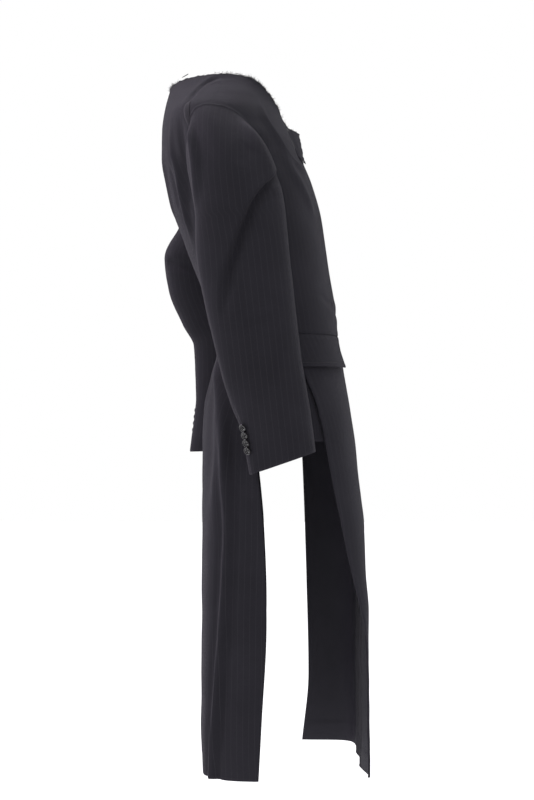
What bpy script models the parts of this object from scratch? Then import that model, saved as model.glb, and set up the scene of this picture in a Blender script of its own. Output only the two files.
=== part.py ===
"""Pinstripe coat, worn and hollow: a hip-length tailored body whose front and back run on as long panels.

Metres, +Z up. The coat faces -Y and the wearer's right side is at -X. The origin is midway between the two
points where the neck edge crosses the shoulders, where the wearer holds the coat up. "Drop" is the distance
below that level. Angles round the body run from 0 at the centre front through 90 at the side to 180 at the
centre back; angles round a sleeve run from 0 at its front through 90 at its outer side to 180 at its back.
"""

import math

import bpy
import numpy as np
from mathutils import Vector

# Cloth
CLOTH = 0.0018
SEAM_GAP = 0.00036
LAYER_GAP = 0.0012
HEAD_GAP = 0.0007
ARM_SEAM_GAP = 0.0006
BUTTON_GAP = 0.0005

# Mean radii that turn an angle into a length across a fold
BODY_RADIUS = 0.160
ARM_RADIUS = 0.060

# Small steps that give a surface's directions: degrees round the body, drop, turn and share on a sleeve
ANGLE_NUDGE = 0.5
DROP_NUDGE = 0.001
TURN_NUDGE = 2.0
SHARE_NUDGE = 0.01
OUTLINE_SAMPLES = 721

# Heights on the body, as drops below the shoulder points
WAIST_DROP = 0.457
SIDE_HEM_DROP = 0.640
LONG_HEM_DROP = 1.2174

# Body sections: drop, half width, front depth, back depth, depth of the widest point, squareness front, back
BODY = np.array((
    (0.0000, 0.0920, -0.0740, 0.1070, 0.008, 2.0, 1.9),
    (0.0200, 0.1180, -0.0745, 0.1125, 0.013, 2.0, 1.95),
    (0.0450, 0.1580, -0.0795, 0.1185, 0.022, 2.0, 2.0),
    (0.0725, 0.2050, -0.0930, 0.1225, 0.034, 2.0, 2.0),
    (0.0900, 0.2075, -0.1030, 0.1245, 0.033, 2.0, 2.0),
    (0.1150, 0.2020, -0.1120, 0.1255, 0.028, 2.1, 2.0),
    (0.1400, 0.1920, -0.1215, 0.1253, 0.022, 2.1, 2.1),
    (0.1850, 0.1810, -0.1410, 0.1170, 0.012, 2.2, 2.2),
    (0.2350, 0.1720, -0.1545, 0.1050, 0.000, 2.3, 2.2),
    (0.2850, 0.1655, -0.1635, 0.0867, -0.018, 2.3, 2.3),
    (0.3420, 0.1610, -0.1715, 0.0653, -0.037, 2.3, 2.3),
    (0.3850, 0.1580, -0.1785, 0.0475, -0.052, 2.35, 2.3),
    (0.4160, 0.1560, -0.1840, 0.0350, -0.060, 2.4, 2.3),
    (0.4570, 0.1555, -0.1875, 0.0258, -0.066, 2.5, 2.4),
    (0.4860, 0.1590, -0.1920, 0.0262, -0.069, 2.6, 2.5),
    (0.5170, 0.1640, -0.1965, 0.0342, -0.072, 2.7, 2.6),
    (0.5520, 0.1695, -0.2030, 0.0424, -0.076, 2.9, 2.7),
    (0.5850, 0.1735, -0.2090, 0.0490, -0.080, 3.1, 2.8),
    (0.6400, 0.1780, -0.2180, 0.0522, -0.084, 3.4, 3.0),
    (0.7450, 0.1780, -0.2315, 0.0522, -0.088, 4.0, 3.3),
    (0.8100, 0.1775, -0.2370, 0.0522, -0.089, 4.4, 3.4),
    (0.9240, 0.1770, -0.2375, 0.0522, -0.090, 5.0, 3.7),
    (1.1600, 0.1760, -0.2365, 0.0525, -0.090, 6.0, 4.0),
    (1.2174, 0.1760, -0.2360, 0.0505, -0.090, 6.0, 4.0),
))

# Neck edge: angle round the body, drop
NECK = np.array((
    (0.0, 0.0865),
    (8.0, 0.0830),
    (16.0, 0.0755),
    (26.0, 0.0625),
    (36.0, 0.0463),
    (47.0, 0.0310),
    (57.0, 0.0170),
    (66.0, 0.0060),
    (78.0, 0.0010),
    (90.0, 0.0000),
    (120.0, 0.0015),
    (139.0, 0.0040),
    (160.0, 0.0090),
    (180.0, 0.0120),
))

# Armhole: turn (front 0, shoulder 90, back 180, underarm 270), drop, depth
ARMHOLE = np.array((
    (-67.5, 0.2385, -0.0350),
    (-45.0, 0.2220, -0.0560),
    (-22.5, 0.1880, -0.0650),
    (0.0, 0.1500, -0.0535),
    (22.5, 0.1130, -0.0360),
    (45.0, 0.0870, -0.0150),
    (67.5, 0.0750, 0.0120),
    (90.0, 0.0725, 0.0340),
    (112.5, 0.0765, 0.0540),
    (135.0, 0.0900, 0.0640),
    (157.5, 0.1180, 0.0662),
    (180.0, 0.1550, 0.0640),
    (202.5, 0.2030, 0.0530),
    (225.0, 0.2330, 0.0350),
    (247.5, 0.2435, 0.0130),
    (270.0, 0.2460, -0.0100),
    (292.5, 0.2385, -0.0350),
))
SHOULDER_TURN = 90.0
FRONT_SEAM_TURN = -67.5
BACK_SEAM_TURN = 225.0
FRONT_NECK_TURN = 0.0
BACK_NECK_TURN = 157.5

# Seams and open edges down the body: drop, depth
FRONT_SEAM = np.array(((0.2385, -0.035), (0.300, -0.066), (0.380, -0.092), (0.457, -0.108)))
BACK_SEAM = np.array(((0.233, 0.035), (0.300, 0.010), (0.380, -0.018), (0.457, -0.032), (0.520, -0.036),
                      (0.640, -0.040)))
BACK_SLIT = np.array(((0.640, -0.040), (0.740, -0.052), (0.800, -0.057), (0.950, -0.0625),
                      (1.120, -0.054), (1.2174, -0.0487)))
FRONT_SLIT_RIGHT = np.array(((0.457, -0.108), (0.5225, -0.125), (0.570, -0.1445), (0.6175, -0.1564),
                             (0.690, -0.170), (0.740, -0.180), (0.826, -0.199), (0.913, -0.221),
                             (0.960, -0.2295), (1.060, -0.2325), (1.2174, -0.2320)))
FRONT_SLIT_LEFT = np.array(((0.457, -0.108), (0.550, -0.120), (0.640, -0.128), (0.900, -0.138),
                            (1.090, -0.142), (1.2174, -0.130)))

# Front lap: its width past the centre, where its height starts and ends to fall, gap between the layers
LAP = 0.012
LAP_FULL = 0.016
LAP_FADE = 0.045
LAP_GAP = 0.0013

# How fast the side body's rows level out below the underarm
UNDERARM_POWER = 4

# Largest folds of the body: angle (less than 0 on the wearer's right) and drop at the top, the same at the
# bottom, width, outward depth
BODY_FOLDS = np.array((
    (-38.0, 0.060, -20.0, 0.160, 0.016, 0.004),
    (-128.0, 0.700, -136.0, 1.217, 0.024, 0.007),
    (-158.0, 0.500, -164.0, 1.217, 0.022, -0.004),
    (132.0, 0.760, 140.0, 1.217, 0.026, 0.006),
    (-172.0, 1.080, -172.0, 1.217, 0.030, -0.005),
    (150.0, 0.560, 154.0, 1.217, 0.026, 0.006),
    (30.0, 0.720, 24.0, 1.217, 0.030, -0.005),
    (-44.0, 0.860, -44.0, 1.217, 0.024, 0.006),
    (-14.0, 0.800, -18.0, 1.217, 0.032, -0.006),
))

# Sleeves: drop, distance out from the middle, depth, half depth, half width, tilt of the ring in degrees
SLEEVE_RIGHT = np.array((
    (0.270, 0.222, -0.0195, 0.0755, 0.046, 2.0),
    (0.320, 0.224, -0.0225, 0.0770, 0.046, 4.0),
    (0.402, 0.228, -0.0340, 0.0745, 0.044, 8.0),
    (0.470, 0.232, -0.0460, 0.0705, 0.042, 11.0),
    (0.520, 0.234, -0.0550, 0.0675, 0.040, 12.0),
    (0.565, 0.236, -0.0660, 0.0645, 0.037, 14.0),
    (0.608, 0.238, -0.0775, 0.0605, 0.034, 16.0),
    (0.675, 0.240, -0.0880, 0.0585, 0.031, 19.0),
))
SLEEVE_LEFT = np.array((
    (0.255, 0.224, 0.0350, 0.0740, 0.047, -12.0),
    (0.300, 0.232, 0.0580, 0.0770, 0.048, -4.0),
    (0.345, 0.238, 0.0540, 0.0745, 0.046, 10.0),
    (0.405, 0.242, 0.0320, 0.0710, 0.044, 14.0),
    (0.457, 0.243, 0.0110, 0.0680, 0.042, 8.0),
    (0.506, 0.243, 0.0090, 0.0675, 0.040, 0.0),
    (0.556, 0.242, 0.0110, 0.0650, 0.037, -4.0),
    (0.609, 0.241, 0.0200, 0.0610, 0.034, -6.0),
    (0.668, 0.240, 0.0290, 0.0595, 0.031, -6.0),
))
SLEEVE_SQUARENESS = 2.2

# Sleeve head: share of the length that it takes, how it leaves the armhole, its fullness, where folds start
CAP_SHARE = 0.30
HEAD_SPREAD = 0.45
HEAD_FALL = 0.30
HEAD_FULLNESS = 1.1
HEAD_PLAIN = 0.08
FRONT_ARM_SEAM = (-22.5, -20.0)
HIND_ARM_SEAM = (202.5, 172.0)

# Largest folds of each sleeve: turn and drop at the top, the same at the bottom, width, outward depth
SLEEVE_RIGHT_FOLDS = np.array((
    (5.0, 0.186, 68.0, 0.240, 0.010, -0.007),
    (66.0, 0.236, 119.0, 0.385, 0.011, -0.009),
    (70.0, 0.300, 150.0, 0.420, 0.014, -0.004),
    (40.0, 0.400, 100.0, 0.640, 0.018, 0.004),
))
SLEEVE_LEFT_FOLDS = np.array((
    (20.0, 0.250, 150.0, 0.330, 0.014, -0.006),
    (10.0, 0.340, 120.0, 0.380, 0.013, -0.006),
    (60.0, 0.420, 120.0, 0.640, 0.018, 0.004),
))

# Pocket flaps in the waist seam: angle of the front and back ends, depth, lift of the lower edge
FLAP_FRONT_ANGLE = 26.0
FLAP_BACK_ANGLE = 74.0
FLAP_DEPTH = 0.056
FLAP_CLOTH = 0.0024
FLAP_LIFT = 0.0022
FLAP_TOP_DROP = 0.0012

# Lapel stubs: angle of the free and the sewn edge, rise of the top edge, taper, curl and lift of the free
# corner, drops
STUB_FREE_ANGLE = 9.0
STUB_SEWN_ANGLE = 27.0
STUB_TOP_RISE = 0.012
STUB_TAPER = 0.35
STUB_CURL = 1.3
STUB_TOP_DROP = 0.102
STUB_BOTTOM_DROP = 0.152
STUB_CLOTH = 0.0026
STUB_LIFT = 0.0095

# Buttons
CUFF_BUTTON_RADIUS = 0.0072
CUFF_BUTTON_THICKNESS = 0.0026
CUFF_BUTTON_PITCH = 0.0120
CUFF_BUTTON_TILT = 15.0
CUFF_BUTTON_COUNT = 4
CUFF_BUTTON_TURN = 146.0
CUFF_BUTTON_FROM_HEM = 0.040
BUTTON_STEPS = 14
BUTTON_MERGE = 0.00001

# Mesh counts: cells round each panel, and down each stretch of it; narrow cells beside the seams
PANEL_COLUMNS = 11
SIDE_COLUMNS = 5
SKIRT_COLUMNS = 12
UNDERARM_TO_WAIST_ROWS = 8
WAIST_TO_SIDE_HEM_ROWS = 6
SIDE_HEM_TO_HEM_ROWS = 12
CHEST_ROWS = 3
HEAD_ROWS = 6
ARM_ROWS = 13
TURN_STEP = 22.5
TOP_SLEEVE_STEP = 11.25
FLAP_CELLS = (8, 4)
STUB_CELLS = (4, 6)
BORDER_SHARE = 0.03
NARROW_CELL = 0.1

COLOURS = {
    "wool": ((0.026, 0.025, 0.029, 1.0), 0.85),
    "horn": ((0.012, 0.011, 0.012, 1.0), 0.25),
}


def smooth(table, column, at):
    """Cubic curve through one column of a table, read at values of its first column, without overshoot."""
    keys = table[:, 0]
    values = table[:, column]
    step = np.diff(keys)
    slope = np.diff(values) / step
    before = slope[:-1]
    after = slope[1:]
    same = before * after > 0
    tangent = np.empty(len(keys))
    tangent[1:-1] = np.where(same, 2 * before * after / np.where(same, before + after, 1), 0)
    tangent[0] = slope[0]
    tangent[-1] = slope[-1]
    at = np.clip(at, keys[0], keys[-1])
    cell = np.clip(np.searchsorted(keys, at, side="right") - 1, 0, len(step) - 1)
    t = (at - keys[cell]) / step[cell]
    rise = (1 - t) ** 2 * t * tangent[cell] - (1 - t) * t ** 2 * tangent[cell + 1]
    level = (1 + 2 * t) * (1 - t) ** 2 * values[cell] + t ** 2 * (3 - 2 * t) * values[cell + 1]
    return level + step[cell] * rise


def ramp(value, start, end):
    """Soft step from 0 at start to 1 at end."""
    t = np.clip((value - start) / (end - start), 0, 1)
    return t * t * (3 - 2 * t)


def ridge_height(folds, turn, drop, radius):
    """Sum of folds: a soft ridge or trough along each fold's line, fading at its ends."""
    height = np.zeros(np.broadcast(turn, drop).shape)
    for turn_0, drop_0, turn_1, drop_1, width, depth in folds:
        across = np.radians(turn - turn_0) * radius
        down = drop - drop_0
        run_across = math.radians(turn_1 - turn_0) * radius
        run_down = drop_1 - drop_0
        length = math.hypot(run_across, run_down)
        along = (across * run_across + down * run_down) / length
        off = (across * run_down - down * run_across) / length
        fade = ramp(along, -width, 3 * width)
        if drop_1 < LONG_HEM_DROP - width:
            fade = fade * (1 - ramp(along, length - 3 * width, length + width))
        height += depth * fade * np.exp(-((off / width) ** 2))
    return height


def body_outline(angle, drop):
    """Depth and distance out of the plain body at an angle and a drop, from its sections."""
    half_width, front, back, middle, square_front, square_back = (smooth(BODY, k, drop) for k in range(1, 7))
    turn = np.radians(angle)
    in_front = np.cos(turn) > 0
    reach = np.where(in_front, middle - front, back - middle)
    power = np.where(in_front, square_front, square_back)
    across = (np.abs(np.sin(turn)) / half_width) ** power
    radius = (across + (np.abs(np.cos(turn)) / reach) ** power) ** (-1 / power)
    return middle - radius * np.cos(turn), radius * np.sin(turn)


def body_point(side, angle, drop, lift=0.0):
    """Point on the coat's outside, side -1 at the wearer's right, moved out by lift."""
    angle = np.asarray(angle, float)
    drop = np.asarray(drop, float)
    depth, out = body_outline(angle, drop)
    depth_1, out_1 = body_outline(angle + ANGLE_NUDGE, drop)
    depth_2, out_2 = body_outline(angle, drop + DROP_NUDGE)
    around = np.stack((out_1 - out, depth_1 - depth, np.zeros_like(out)), -1)
    down = np.stack((out_2 - out, depth_2 - depth, np.full_like(out, -DROP_NUDGE)), -1)
    normal = np.cross(down, around)
    normal = normal / np.linalg.norm(normal, axis=-1, keepdims=True)
    height = lift + ridge_height(BODY_FOLDS, side * angle, drop, BODY_RADIUS)
    point = np.stack((out, depth, -drop), -1) + normal * np.asarray(height)[..., None]
    point[..., 0] *= side
    return point


def angle_at(drop, depth):
    """Angle round the body at which the outline passes a depth."""
    angles = np.linspace(0.0, 180.0, OUTLINE_SAMPLES)
    drops, depths = np.broadcast_arrays(np.asarray(drop, float), np.asarray(depth, float))
    found = np.empty(drops.shape)
    for index in np.ndindex(drops.shape):
        outline = body_outline(angles, np.full(angles.shape, drops[index]))[0]
        found[index] = np.interp(depths[index], outline, angles)
    return found


def armhole(turn):
    """Angle and drop of the armhole's edge at a turn, straight between the corners that both sides share."""
    corner_angle = angle_at(ARMHOLE[:, 1], ARMHOLE[:, 2])
    return np.interp(turn, ARMHOLE[:, 0], corner_angle), np.interp(turn, ARMHOLE[:, 0], ARMHOLE[:, 1])


def edge(table, drop):
    """Angle of a seam or an open edge at a drop."""
    return angle_at(drop, smooth(table, 1, drop))


def inset(angle, drop, direction):
    """Half a seam's gap, as degrees round the body, taken off an edge."""
    depth, out = body_outline(angle, drop)
    radius = np.hypot(out, depth - smooth(BODY, 4, drop))
    return angle + direction * np.degrees(0.5 * SEAM_GAP / radius)


def material(name):
    """Principled material of one of the finishes."""
    if name in bpy.data.materials:
        return bpy.data.materials[name]
    colour, roughness = COLOURS[name]
    made = bpy.data.materials.new(name)
    made.use_nodes = True
    shader = made.node_tree.nodes["Principled BSDF"]
    shader.inputs["Base Color"].default_value = colour
    shader.inputs["Roughness"].default_value = roughness
    return made


def add_panel(name, points, side, thickness=CLOTH):
    """Grid of outer points, rows down and columns round the body, given a wall inward by Solidify."""
    rows, columns = points.shape[:2]
    corner = np.arange(rows * columns).reshape(rows, columns)
    quads = np.stack((corner[:-1, :-1], corner[1:, :-1], corner[1:, 1:], corner[:-1, 1:]), -1).reshape(-1, 4)
    if side > 0:
        quads = quads[:, ::-1]
    quads = quads[:, ::-1]
    mesh = bpy.data.meshes.new(name)
    mesh.from_pydata(points.reshape(-1, 3).tolist(), [], quads.tolist())
    mesh.shade_smooth()
    panel = bpy.data.objects.new(name, mesh)
    parts.objects.link(panel)
    wall = panel.modifiers.new("Cloth thickness", "SOLIDIFY")
    wall.thickness = thickness
    wall.offset = -1.0
    panel.data.materials.append(material("wool"))
    return panel


def spread(count):
    """Shares from 0 to 1 with a narrow cell beside each edge, so that the wall meets its seam squarely."""
    inside = np.linspace(BORDER_SHARE, 1.0 - BORDER_SHARE, count - 1)
    return np.concatenate(((0.0,), inside, (1.0,)))


def grid(inner, outer, share):
    """Straight rows in angle and drop between two edges."""
    angle = inner[0][:, None] * (1 - share) + outer[0][:, None] * share
    drop = inner[1][:, None] * (1 - share) + outer[1][:, None] * share
    return angle, drop


def shoulder_turns(last):
    """Armhole turns of the rows beside the neck edge, with a narrow row along the shoulder seam."""
    count = int(round(abs(last - SHOULDER_TURN) / (0.5 * TURN_STEP)))
    share = np.concatenate(((0.0, NARROW_CELL / count), np.arange(1, count + 1) / count))
    return share, SHOULDER_TURN + (last - SHOULDER_TURN) * share


def seam_drops(top, with_long_hem):
    """Drops of the rows below the underarm, the same for the panels on both sides of a seam."""
    stops = [np.linspace(top, WAIST_DROP, UNDERARM_TO_WAIST_ROWS + 1)]
    stops.append(np.linspace(WAIST_DROP, SIDE_HEM_DROP, WAIST_TO_SIDE_HEM_ROWS + 1)[1:])
    if with_long_hem:
        stops.append(np.linspace(SIDE_HEM_DROP, LONG_HEM_DROP, SIDE_HEM_TO_HEM_ROWS + 1)[1:])
    return np.concatenate(stops)


def lap_angle(drop):
    """Angle past the centre front of the lap's edge."""
    return np.degrees(LAP / (smooth(BODY, 4, drop) - smooth(BODY, 2, drop)))


def lap_lift(side, angle, drop):
    """Height of the right front where it lies over the left."""
    if side > 0:
        return np.zeros(np.shape(angle))
    reach = smooth(BODY, 4, drop) - smooth(BODY, 2, drop)
    across = np.radians(angle) * reach
    return (CLOTH + LAP_GAP) * (1 - ramp(across, LAP_FULL, LAP + LAP_FADE))


def torso_edges(neck_to, centre_angle, neck_turn, seam_turn, seam_drop, seam_angle):
    """Inner and outer edge of a front or back: neck edge then centre line, and armhole then seam."""
    share, turns = shoulder_turns(neck_turn)
    neck_angle = SHOULDER_TURN + (neck_to - SHOULDER_TURN) * share
    neck_drop = smooth(NECK, 1, np.abs(neck_angle))
    chest_drop = np.linspace(neck_drop[-1], seam_drop[0], CHEST_ROWS + 1)[1:]
    chest_turn = np.linspace(neck_turn, seam_turn, CHEST_ROWS + 1)[1:]
    inner_drop = np.concatenate((neck_drop, chest_drop, seam_drop[1:]))
    inner_angle = np.concatenate((neck_angle, centre_angle(np.concatenate((chest_drop, seam_drop[1:])))))
    hole_angle, hole_drop = armhole(np.concatenate((turns, chest_turn)))
    outer_drop = np.concatenate((hole_drop, seam_drop[1:]))
    outer_angle = np.concatenate((hole_angle, seam_angle[1:]))
    return (inner_angle, inner_drop), (outer_angle, outer_drop)


def make_front(side, name):
    """Front from shoulder to waist seam: neck edge and centre front inside, armhole and side seam outside."""
    seam_drop = seam_drops(FRONT_SEAM[0, 0], False)[:UNDERARM_TO_WAIST_ROWS + 1]
    lap = lap_angle(NECK[:1, 1])[0]
    inner, outer = torso_edges(-lap, lambda drop: -lap_angle(drop), FRONT_NECK_TURN, FRONT_SEAM_TURN,
                               seam_drop, edge(FRONT_SEAM, seam_drop))
    outer = (inset(outer[0], outer[1], -1), outer[1])
    inner[0][0] = outer[0][0]
    inner[1][-1] -= 0.5 * SEAM_GAP
    outer[1][-1] -= 0.5 * SEAM_GAP
    angle, drop = grid(inner, outer, spread(PANEL_COLUMNS))
    add_panel(name, body_point(side, angle, drop, lap_lift(side, angle, drop)), side)


def make_skirt(side, name, slit):
    """Long front panel from the waist seam to the hem, between the lap and the slit's edge."""
    drop = seam_drops(FRONT_SEAM[0, 0], True)[UNDERARM_TO_WAIST_ROWS:]
    drop[0] += 0.5 * SEAM_GAP
    inner = -lap_angle(drop)
    outer = inset(edge(slit, drop), drop, -1)
    angle, drop = grid((inner, drop), (outer, drop), spread(SKIRT_COLUMNS))
    add_panel(name, body_point(side, angle, drop, lap_lift(side, angle, drop)), side)


def make_back(side, name):
    """Back in one length: neck edge and centre back inside, armhole, side seam and slit's edge outside."""
    seam_drop = seam_drops(BACK_SEAM[0, 0], True)
    seam_angle = np.where(seam_drop < SIDE_HEM_DROP, edge(BACK_SEAM, seam_drop), edge(BACK_SLIT, seam_drop))
    inner, outer = torso_edges(180.0, lambda drop: np.full(drop.shape, 180.0), BACK_NECK_TURN, BACK_SEAM_TURN,
                               seam_drop, seam_angle)
    outer = (inset(outer[0], outer[1], 1), outer[1])
    inner = (np.minimum(inner[0], inset(np.full(inner[0].shape, 180.0), inner[1], -1)), inner[1])
    inner[0][0] = outer[0][0]
    angle, drop = grid(outer, inner, spread(PANEL_COLUMNS))
    add_panel(name, body_point(side, angle, drop), side)


def make_side(side, name, slit):
    """Side body from the underarm to its hem at the hip, between the front and back seams."""
    front_drop = seam_drops(FRONT_SEAM[0, 0], False)
    back_drop = seam_drops(BACK_SEAM[0, 0], False)
    front_angle = np.where(front_drop < WAIST_DROP, edge(FRONT_SEAM, front_drop), edge(slit, front_drop))
    back_angle = edge(BACK_SEAM, back_drop)
    share = spread(SIDE_COLUMNS)
    angle, drop = grid((inset(front_angle, front_drop, 1), front_drop),
                       (inset(back_angle, back_drop, -1), back_drop), share)
    turn = (FRONT_SEAM_TURN + 360.0) * (1 - share) + BACK_SEAM_TURN * share
    hole_angle, hole_drop = armhole(turn)
    fade = np.linspace(1.0, 0.0, len(front_drop))[:, None] ** UNDERARM_POWER
    inside = (share > 0) & (share < 1)
    drop = drop + fade * np.where(inside, hole_drop - drop[0], 0)
    angle = angle + fade * np.where(inside, hole_angle - angle[0], 0)
    add_panel(name, body_point(side, angle, drop), side)


def sleeve_table(side):
    """Stations of one sleeve."""
    return SLEEVE_RIGHT if side < 0 else SLEEVE_LEFT


def sleeve_ring(side, turn, drop):
    """Point of the sleeve's tube at a turn, on the ring whose middle is at a drop."""
    table = sleeve_table(side)
    out, depth, half_depth, half_width, tilt = (smooth(table, k, drop) for k in range(1, 6))
    angle = np.radians(turn)
    forward = np.cos(angle)
    outward = np.sin(angle)
    power = SLEEVE_SQUARENESS
    radius = (np.abs(forward) ** power + np.abs(outward) ** power) ** (-1 / power)
    slope = np.radians(tilt)
    ahead = radius * forward * half_depth
    x = side * (out + radius * outward * half_width)
    y = depth - ahead * np.cos(slope)
    z = -drop + ahead * np.sin(slope)
    return np.stack(np.broadcast_arrays(x, y, z), -1)


def sleeve_point(side, turn, share, lift=0.0):
    """Point on a sleeve's outside at a turn and a share of its length, the head first, moved out by lift."""
    turn, share = np.broadcast_arrays(np.asarray(turn, float), np.asarray(share, float))
    table = sleeve_table(side)
    wrapped = np.where(turn > FRONT_SEAM_TURN + 360.0, turn - 360.0, turn)
    hole_angle, hole_drop = armhole(wrapped)
    start = body_point(side, hole_angle, hole_drop)
    angle = np.radians(turn)
    top = np.clip(np.sin(angle), 0, 1)
    flare = HEAD_SPREAD * (1 - top)
    leave = np.stack((np.full(turn.shape, float(side)), -np.cos(angle) * flare,
                      np.sin(angle) * flare - HEAD_FALL * top), -1)
    leave = leave / np.linalg.norm(leave, axis=-1, keepdims=True)
    start = start + leave * HEAD_GAP
    first = table[0, 0]
    last = table[-1, 0]
    end = sleeve_ring(side, turn, first)
    arrive = sleeve_ring(side, turn, first + DROP_NUDGE) - end
    arrive = arrive / np.linalg.norm(arrive, axis=-1, keepdims=True)
    span = HEAD_FULLNESS * np.linalg.norm(end - start, axis=-1, keepdims=True)
    t = np.clip(share / CAP_SHARE, 0, 1)[..., None]
    head = ((1 + 2 * t) * (1 - t) ** 2 * start + t * (1 - t) ** 2 * leave * span
            + t * t * (3 - 2 * t) * end - t * t * (1 - t) * arrive * span)
    drop = first + (last - first) * np.clip((share - CAP_SHARE) / (1 - CAP_SHARE), 0, 1)
    tube = sleeve_ring(side, turn, drop)
    point = np.where(share[..., None] < CAP_SHARE, head, tube)
    out = np.stack((side * np.sin(angle), -np.cos(angle), np.zeros(turn.shape)), -1)
    folds = SLEEVE_RIGHT_FOLDS if side < 0 else SLEEVE_LEFT_FOLDS
    height = ridge_height(folds, turn, -point[..., 2], ARM_RADIUS) + lift
    return point + out * (height * ramp(share, 0.0, HEAD_PLAIN))[..., None]


def make_sleeve(side, name, from_seam, to_seam, step):
    """One piece of a sleeve between two seams, each given by its turn at the armhole and at the cuff."""
    head = np.linspace(0.0, CAP_SHARE, HEAD_ROWS + 1)
    arm = np.linspace(CAP_SHARE, 1.0, ARM_ROWS + 1)[1:]
    share = np.concatenate((head, arm))[:, None]
    count = int(round((to_seam[0] - from_seam[0]) / step))
    border = NARROW_CELL / count
    across = np.concatenate(((0.0, border), np.arange(1, count) / count, (1.0 - border, 1.0)))
    start = from_seam[0] + (from_seam[1] - from_seam[0]) * share
    end = to_seam[0] + (to_seam[1] - to_seam[0]) * share
    gap = math.degrees(ARM_SEAM_GAP / ARM_RADIUS)
    turn = (start + gap) * (1 - across) + (end - gap) * across
    add_panel(name, sleeve_point(side, turn, share + 0 * turn), side)


def make_flap(side, name):
    """Pocket flap hanging from the waist seam over the front panel, a little proud at its lower edge."""
    columns, rows = FLAP_CELLS
    angle = np.linspace(FLAP_FRONT_ANGLE, FLAP_BACK_ANGLE, columns + 1)[None, :]
    down = np.linspace(0.0, 1.0, rows + 1)[:, None]
    drop = WAIST_DROP + FLAP_TOP_DROP + FLAP_DEPTH * down + 0 * angle
    angle = angle + 0 * down
    lift = LAYER_GAP + FLAP_CLOTH + FLAP_LIFT * down + lap_lift(side, angle, drop)
    add_panel(name, body_point(side, angle, drop, lift), side, FLAP_CLOTH)


def make_stub(side, name):
    """Cut-off end of the lapel, sewn at its outer edge and lifted at the corner near the neck."""
    columns, rows = STUB_CELLS
    across = np.linspace(0.0, 1.0, columns + 1)[None, :]
    down = np.linspace(0.0, 1.0, rows + 1)[:, None]
    angle = STUB_FREE_ANGLE + (STUB_SEWN_ANGLE - STUB_FREE_ANGLE) * across * (1 - STUB_TAPER * down)
    drop = STUB_TOP_DROP - STUB_TOP_RISE * across + (STUB_BOTTOM_DROP - STUB_TOP_DROP) * down
    curl = STUB_LIFT * (1 - across) * (1 - down) ** STUB_CURL
    lift = LAYER_GAP + STUB_CLOTH + curl + lap_lift(side, angle, drop)
    add_panel(name, body_point(side, angle, drop, lift), side, STUB_CLOTH)


def make_button(name, radius, thickness, place, normal):
    """Turned button with a raised rim and a dished middle, its underside at the place given."""
    dish_radius = 0.62
    rim_radius = 0.78
    face_radius = 0.925
    dish = 0.72
    edge_round = 0.25
    profile = (
        (0.0, dish),
        (dish_radius, dish),
        (rim_radius, 1.0),
        (face_radius, 1.0),
        (1.0, 1.0 - edge_round),
        (1.0, edge_round),
        (face_radius, 0.0),
        (0.0, 0.0),
    )
    mesh = bpy.data.meshes.new(name)
    points = [(r * radius, 0.0, h * thickness) for r, h in profile]
    mesh.from_pydata(points, [(k, k + 1) for k in range(len(points) - 1)], [])
    button = bpy.data.objects.new(name, mesh)
    parts.objects.link(button)
    turned = button.modifiers.new("Turned", "SCREW")
    turned.steps = BUTTON_STEPS
    turned.render_steps = BUTTON_STEPS
    turned.use_merge_vertices = True
    turned.merge_threshold = BUTTON_MERGE
    turned.use_smooth_shade = True
    button.location = Vector(place)
    button.rotation_euler = Vector(normal).to_track_quat("Z", "Y").to_euler()
    button.data.materials.append(material("horn"))
    return button


def surface_frame(point_at, turn, along):
    """Point, outward normal and unit downward direction of a surface given as a function of two numbers."""
    point = point_at(turn, along)
    around = point_at(turn + TURN_NUDGE, along) - point
    down = point_at(turn, along + SHARE_NUDGE) - point
    down = down / np.linalg.norm(down)
    normal = np.cross(around, down)
    return point, normal / np.linalg.norm(normal), down


def make_cuff_buttons(side, name):
    """Row of buttons above the cuff's hem, each tilted so that it lies over the next one down."""
    table = sleeve_table(side)
    length = (table[-1, 0] - table[0, 0]) / (1 - CAP_SHARE)
    tilt = math.radians(CUFF_BUTTON_TILT)
    for number in range(CUFF_BUTTON_COUNT):
        share = 1 - (CUFF_BUTTON_FROM_HEM + CUFF_BUTTON_PITCH * number) / length
        point, normal, down = surface_frame(lambda turn, at: sleeve_point(side, turn, at),
                                            CUFF_BUTTON_TURN, share)
        normal = normal if normal[0] * side > 0 else -normal
        axis = normal * math.cos(tilt) + down * math.sin(tilt)
        rise = BUTTON_GAP + CUFF_BUTTON_RADIUS * math.sin(tilt)
        make_button(f"{name}_{number + 1}", CUFF_BUTTON_RADIUS, CUFF_BUTTON_THICKNESS,
                    point + normal * rise, axis)


for old in list(bpy.data.objects):
    bpy.data.objects.remove(old)
parts = bpy.data.collections.new("pinstripe_coat")
bpy.context.scene.collection.children.link(parts)

for side, hand, slit in ((-1, "right", FRONT_SLIT_RIGHT), (1, "left", FRONT_SLIT_LEFT)):
    make_front(side, f"front_{hand}")
    make_skirt(side, f"skirt_front_{hand}", slit)
    make_side(side, f"side_{hand}", slit)
    make_back(side, f"back_{hand}")
    under = ((HIND_ARM_SEAM[0], HIND_ARM_SEAM[1]), (FRONT_ARM_SEAM[0] + 360.0, FRONT_ARM_SEAM[1] + 360.0))
    make_sleeve(side, f"sleeve_top_{hand}", FRONT_ARM_SEAM, HIND_ARM_SEAM, TOP_SLEEVE_STEP)
    make_sleeve(side, f"sleeve_under_{hand}", *under, TURN_STEP)
    make_flap(side, f"pocket_flap_{hand}")
    make_stub(side, f"lapel_stub_{hand}")
    make_cuff_buttons(side, f"cuff_button_{hand}")
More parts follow.
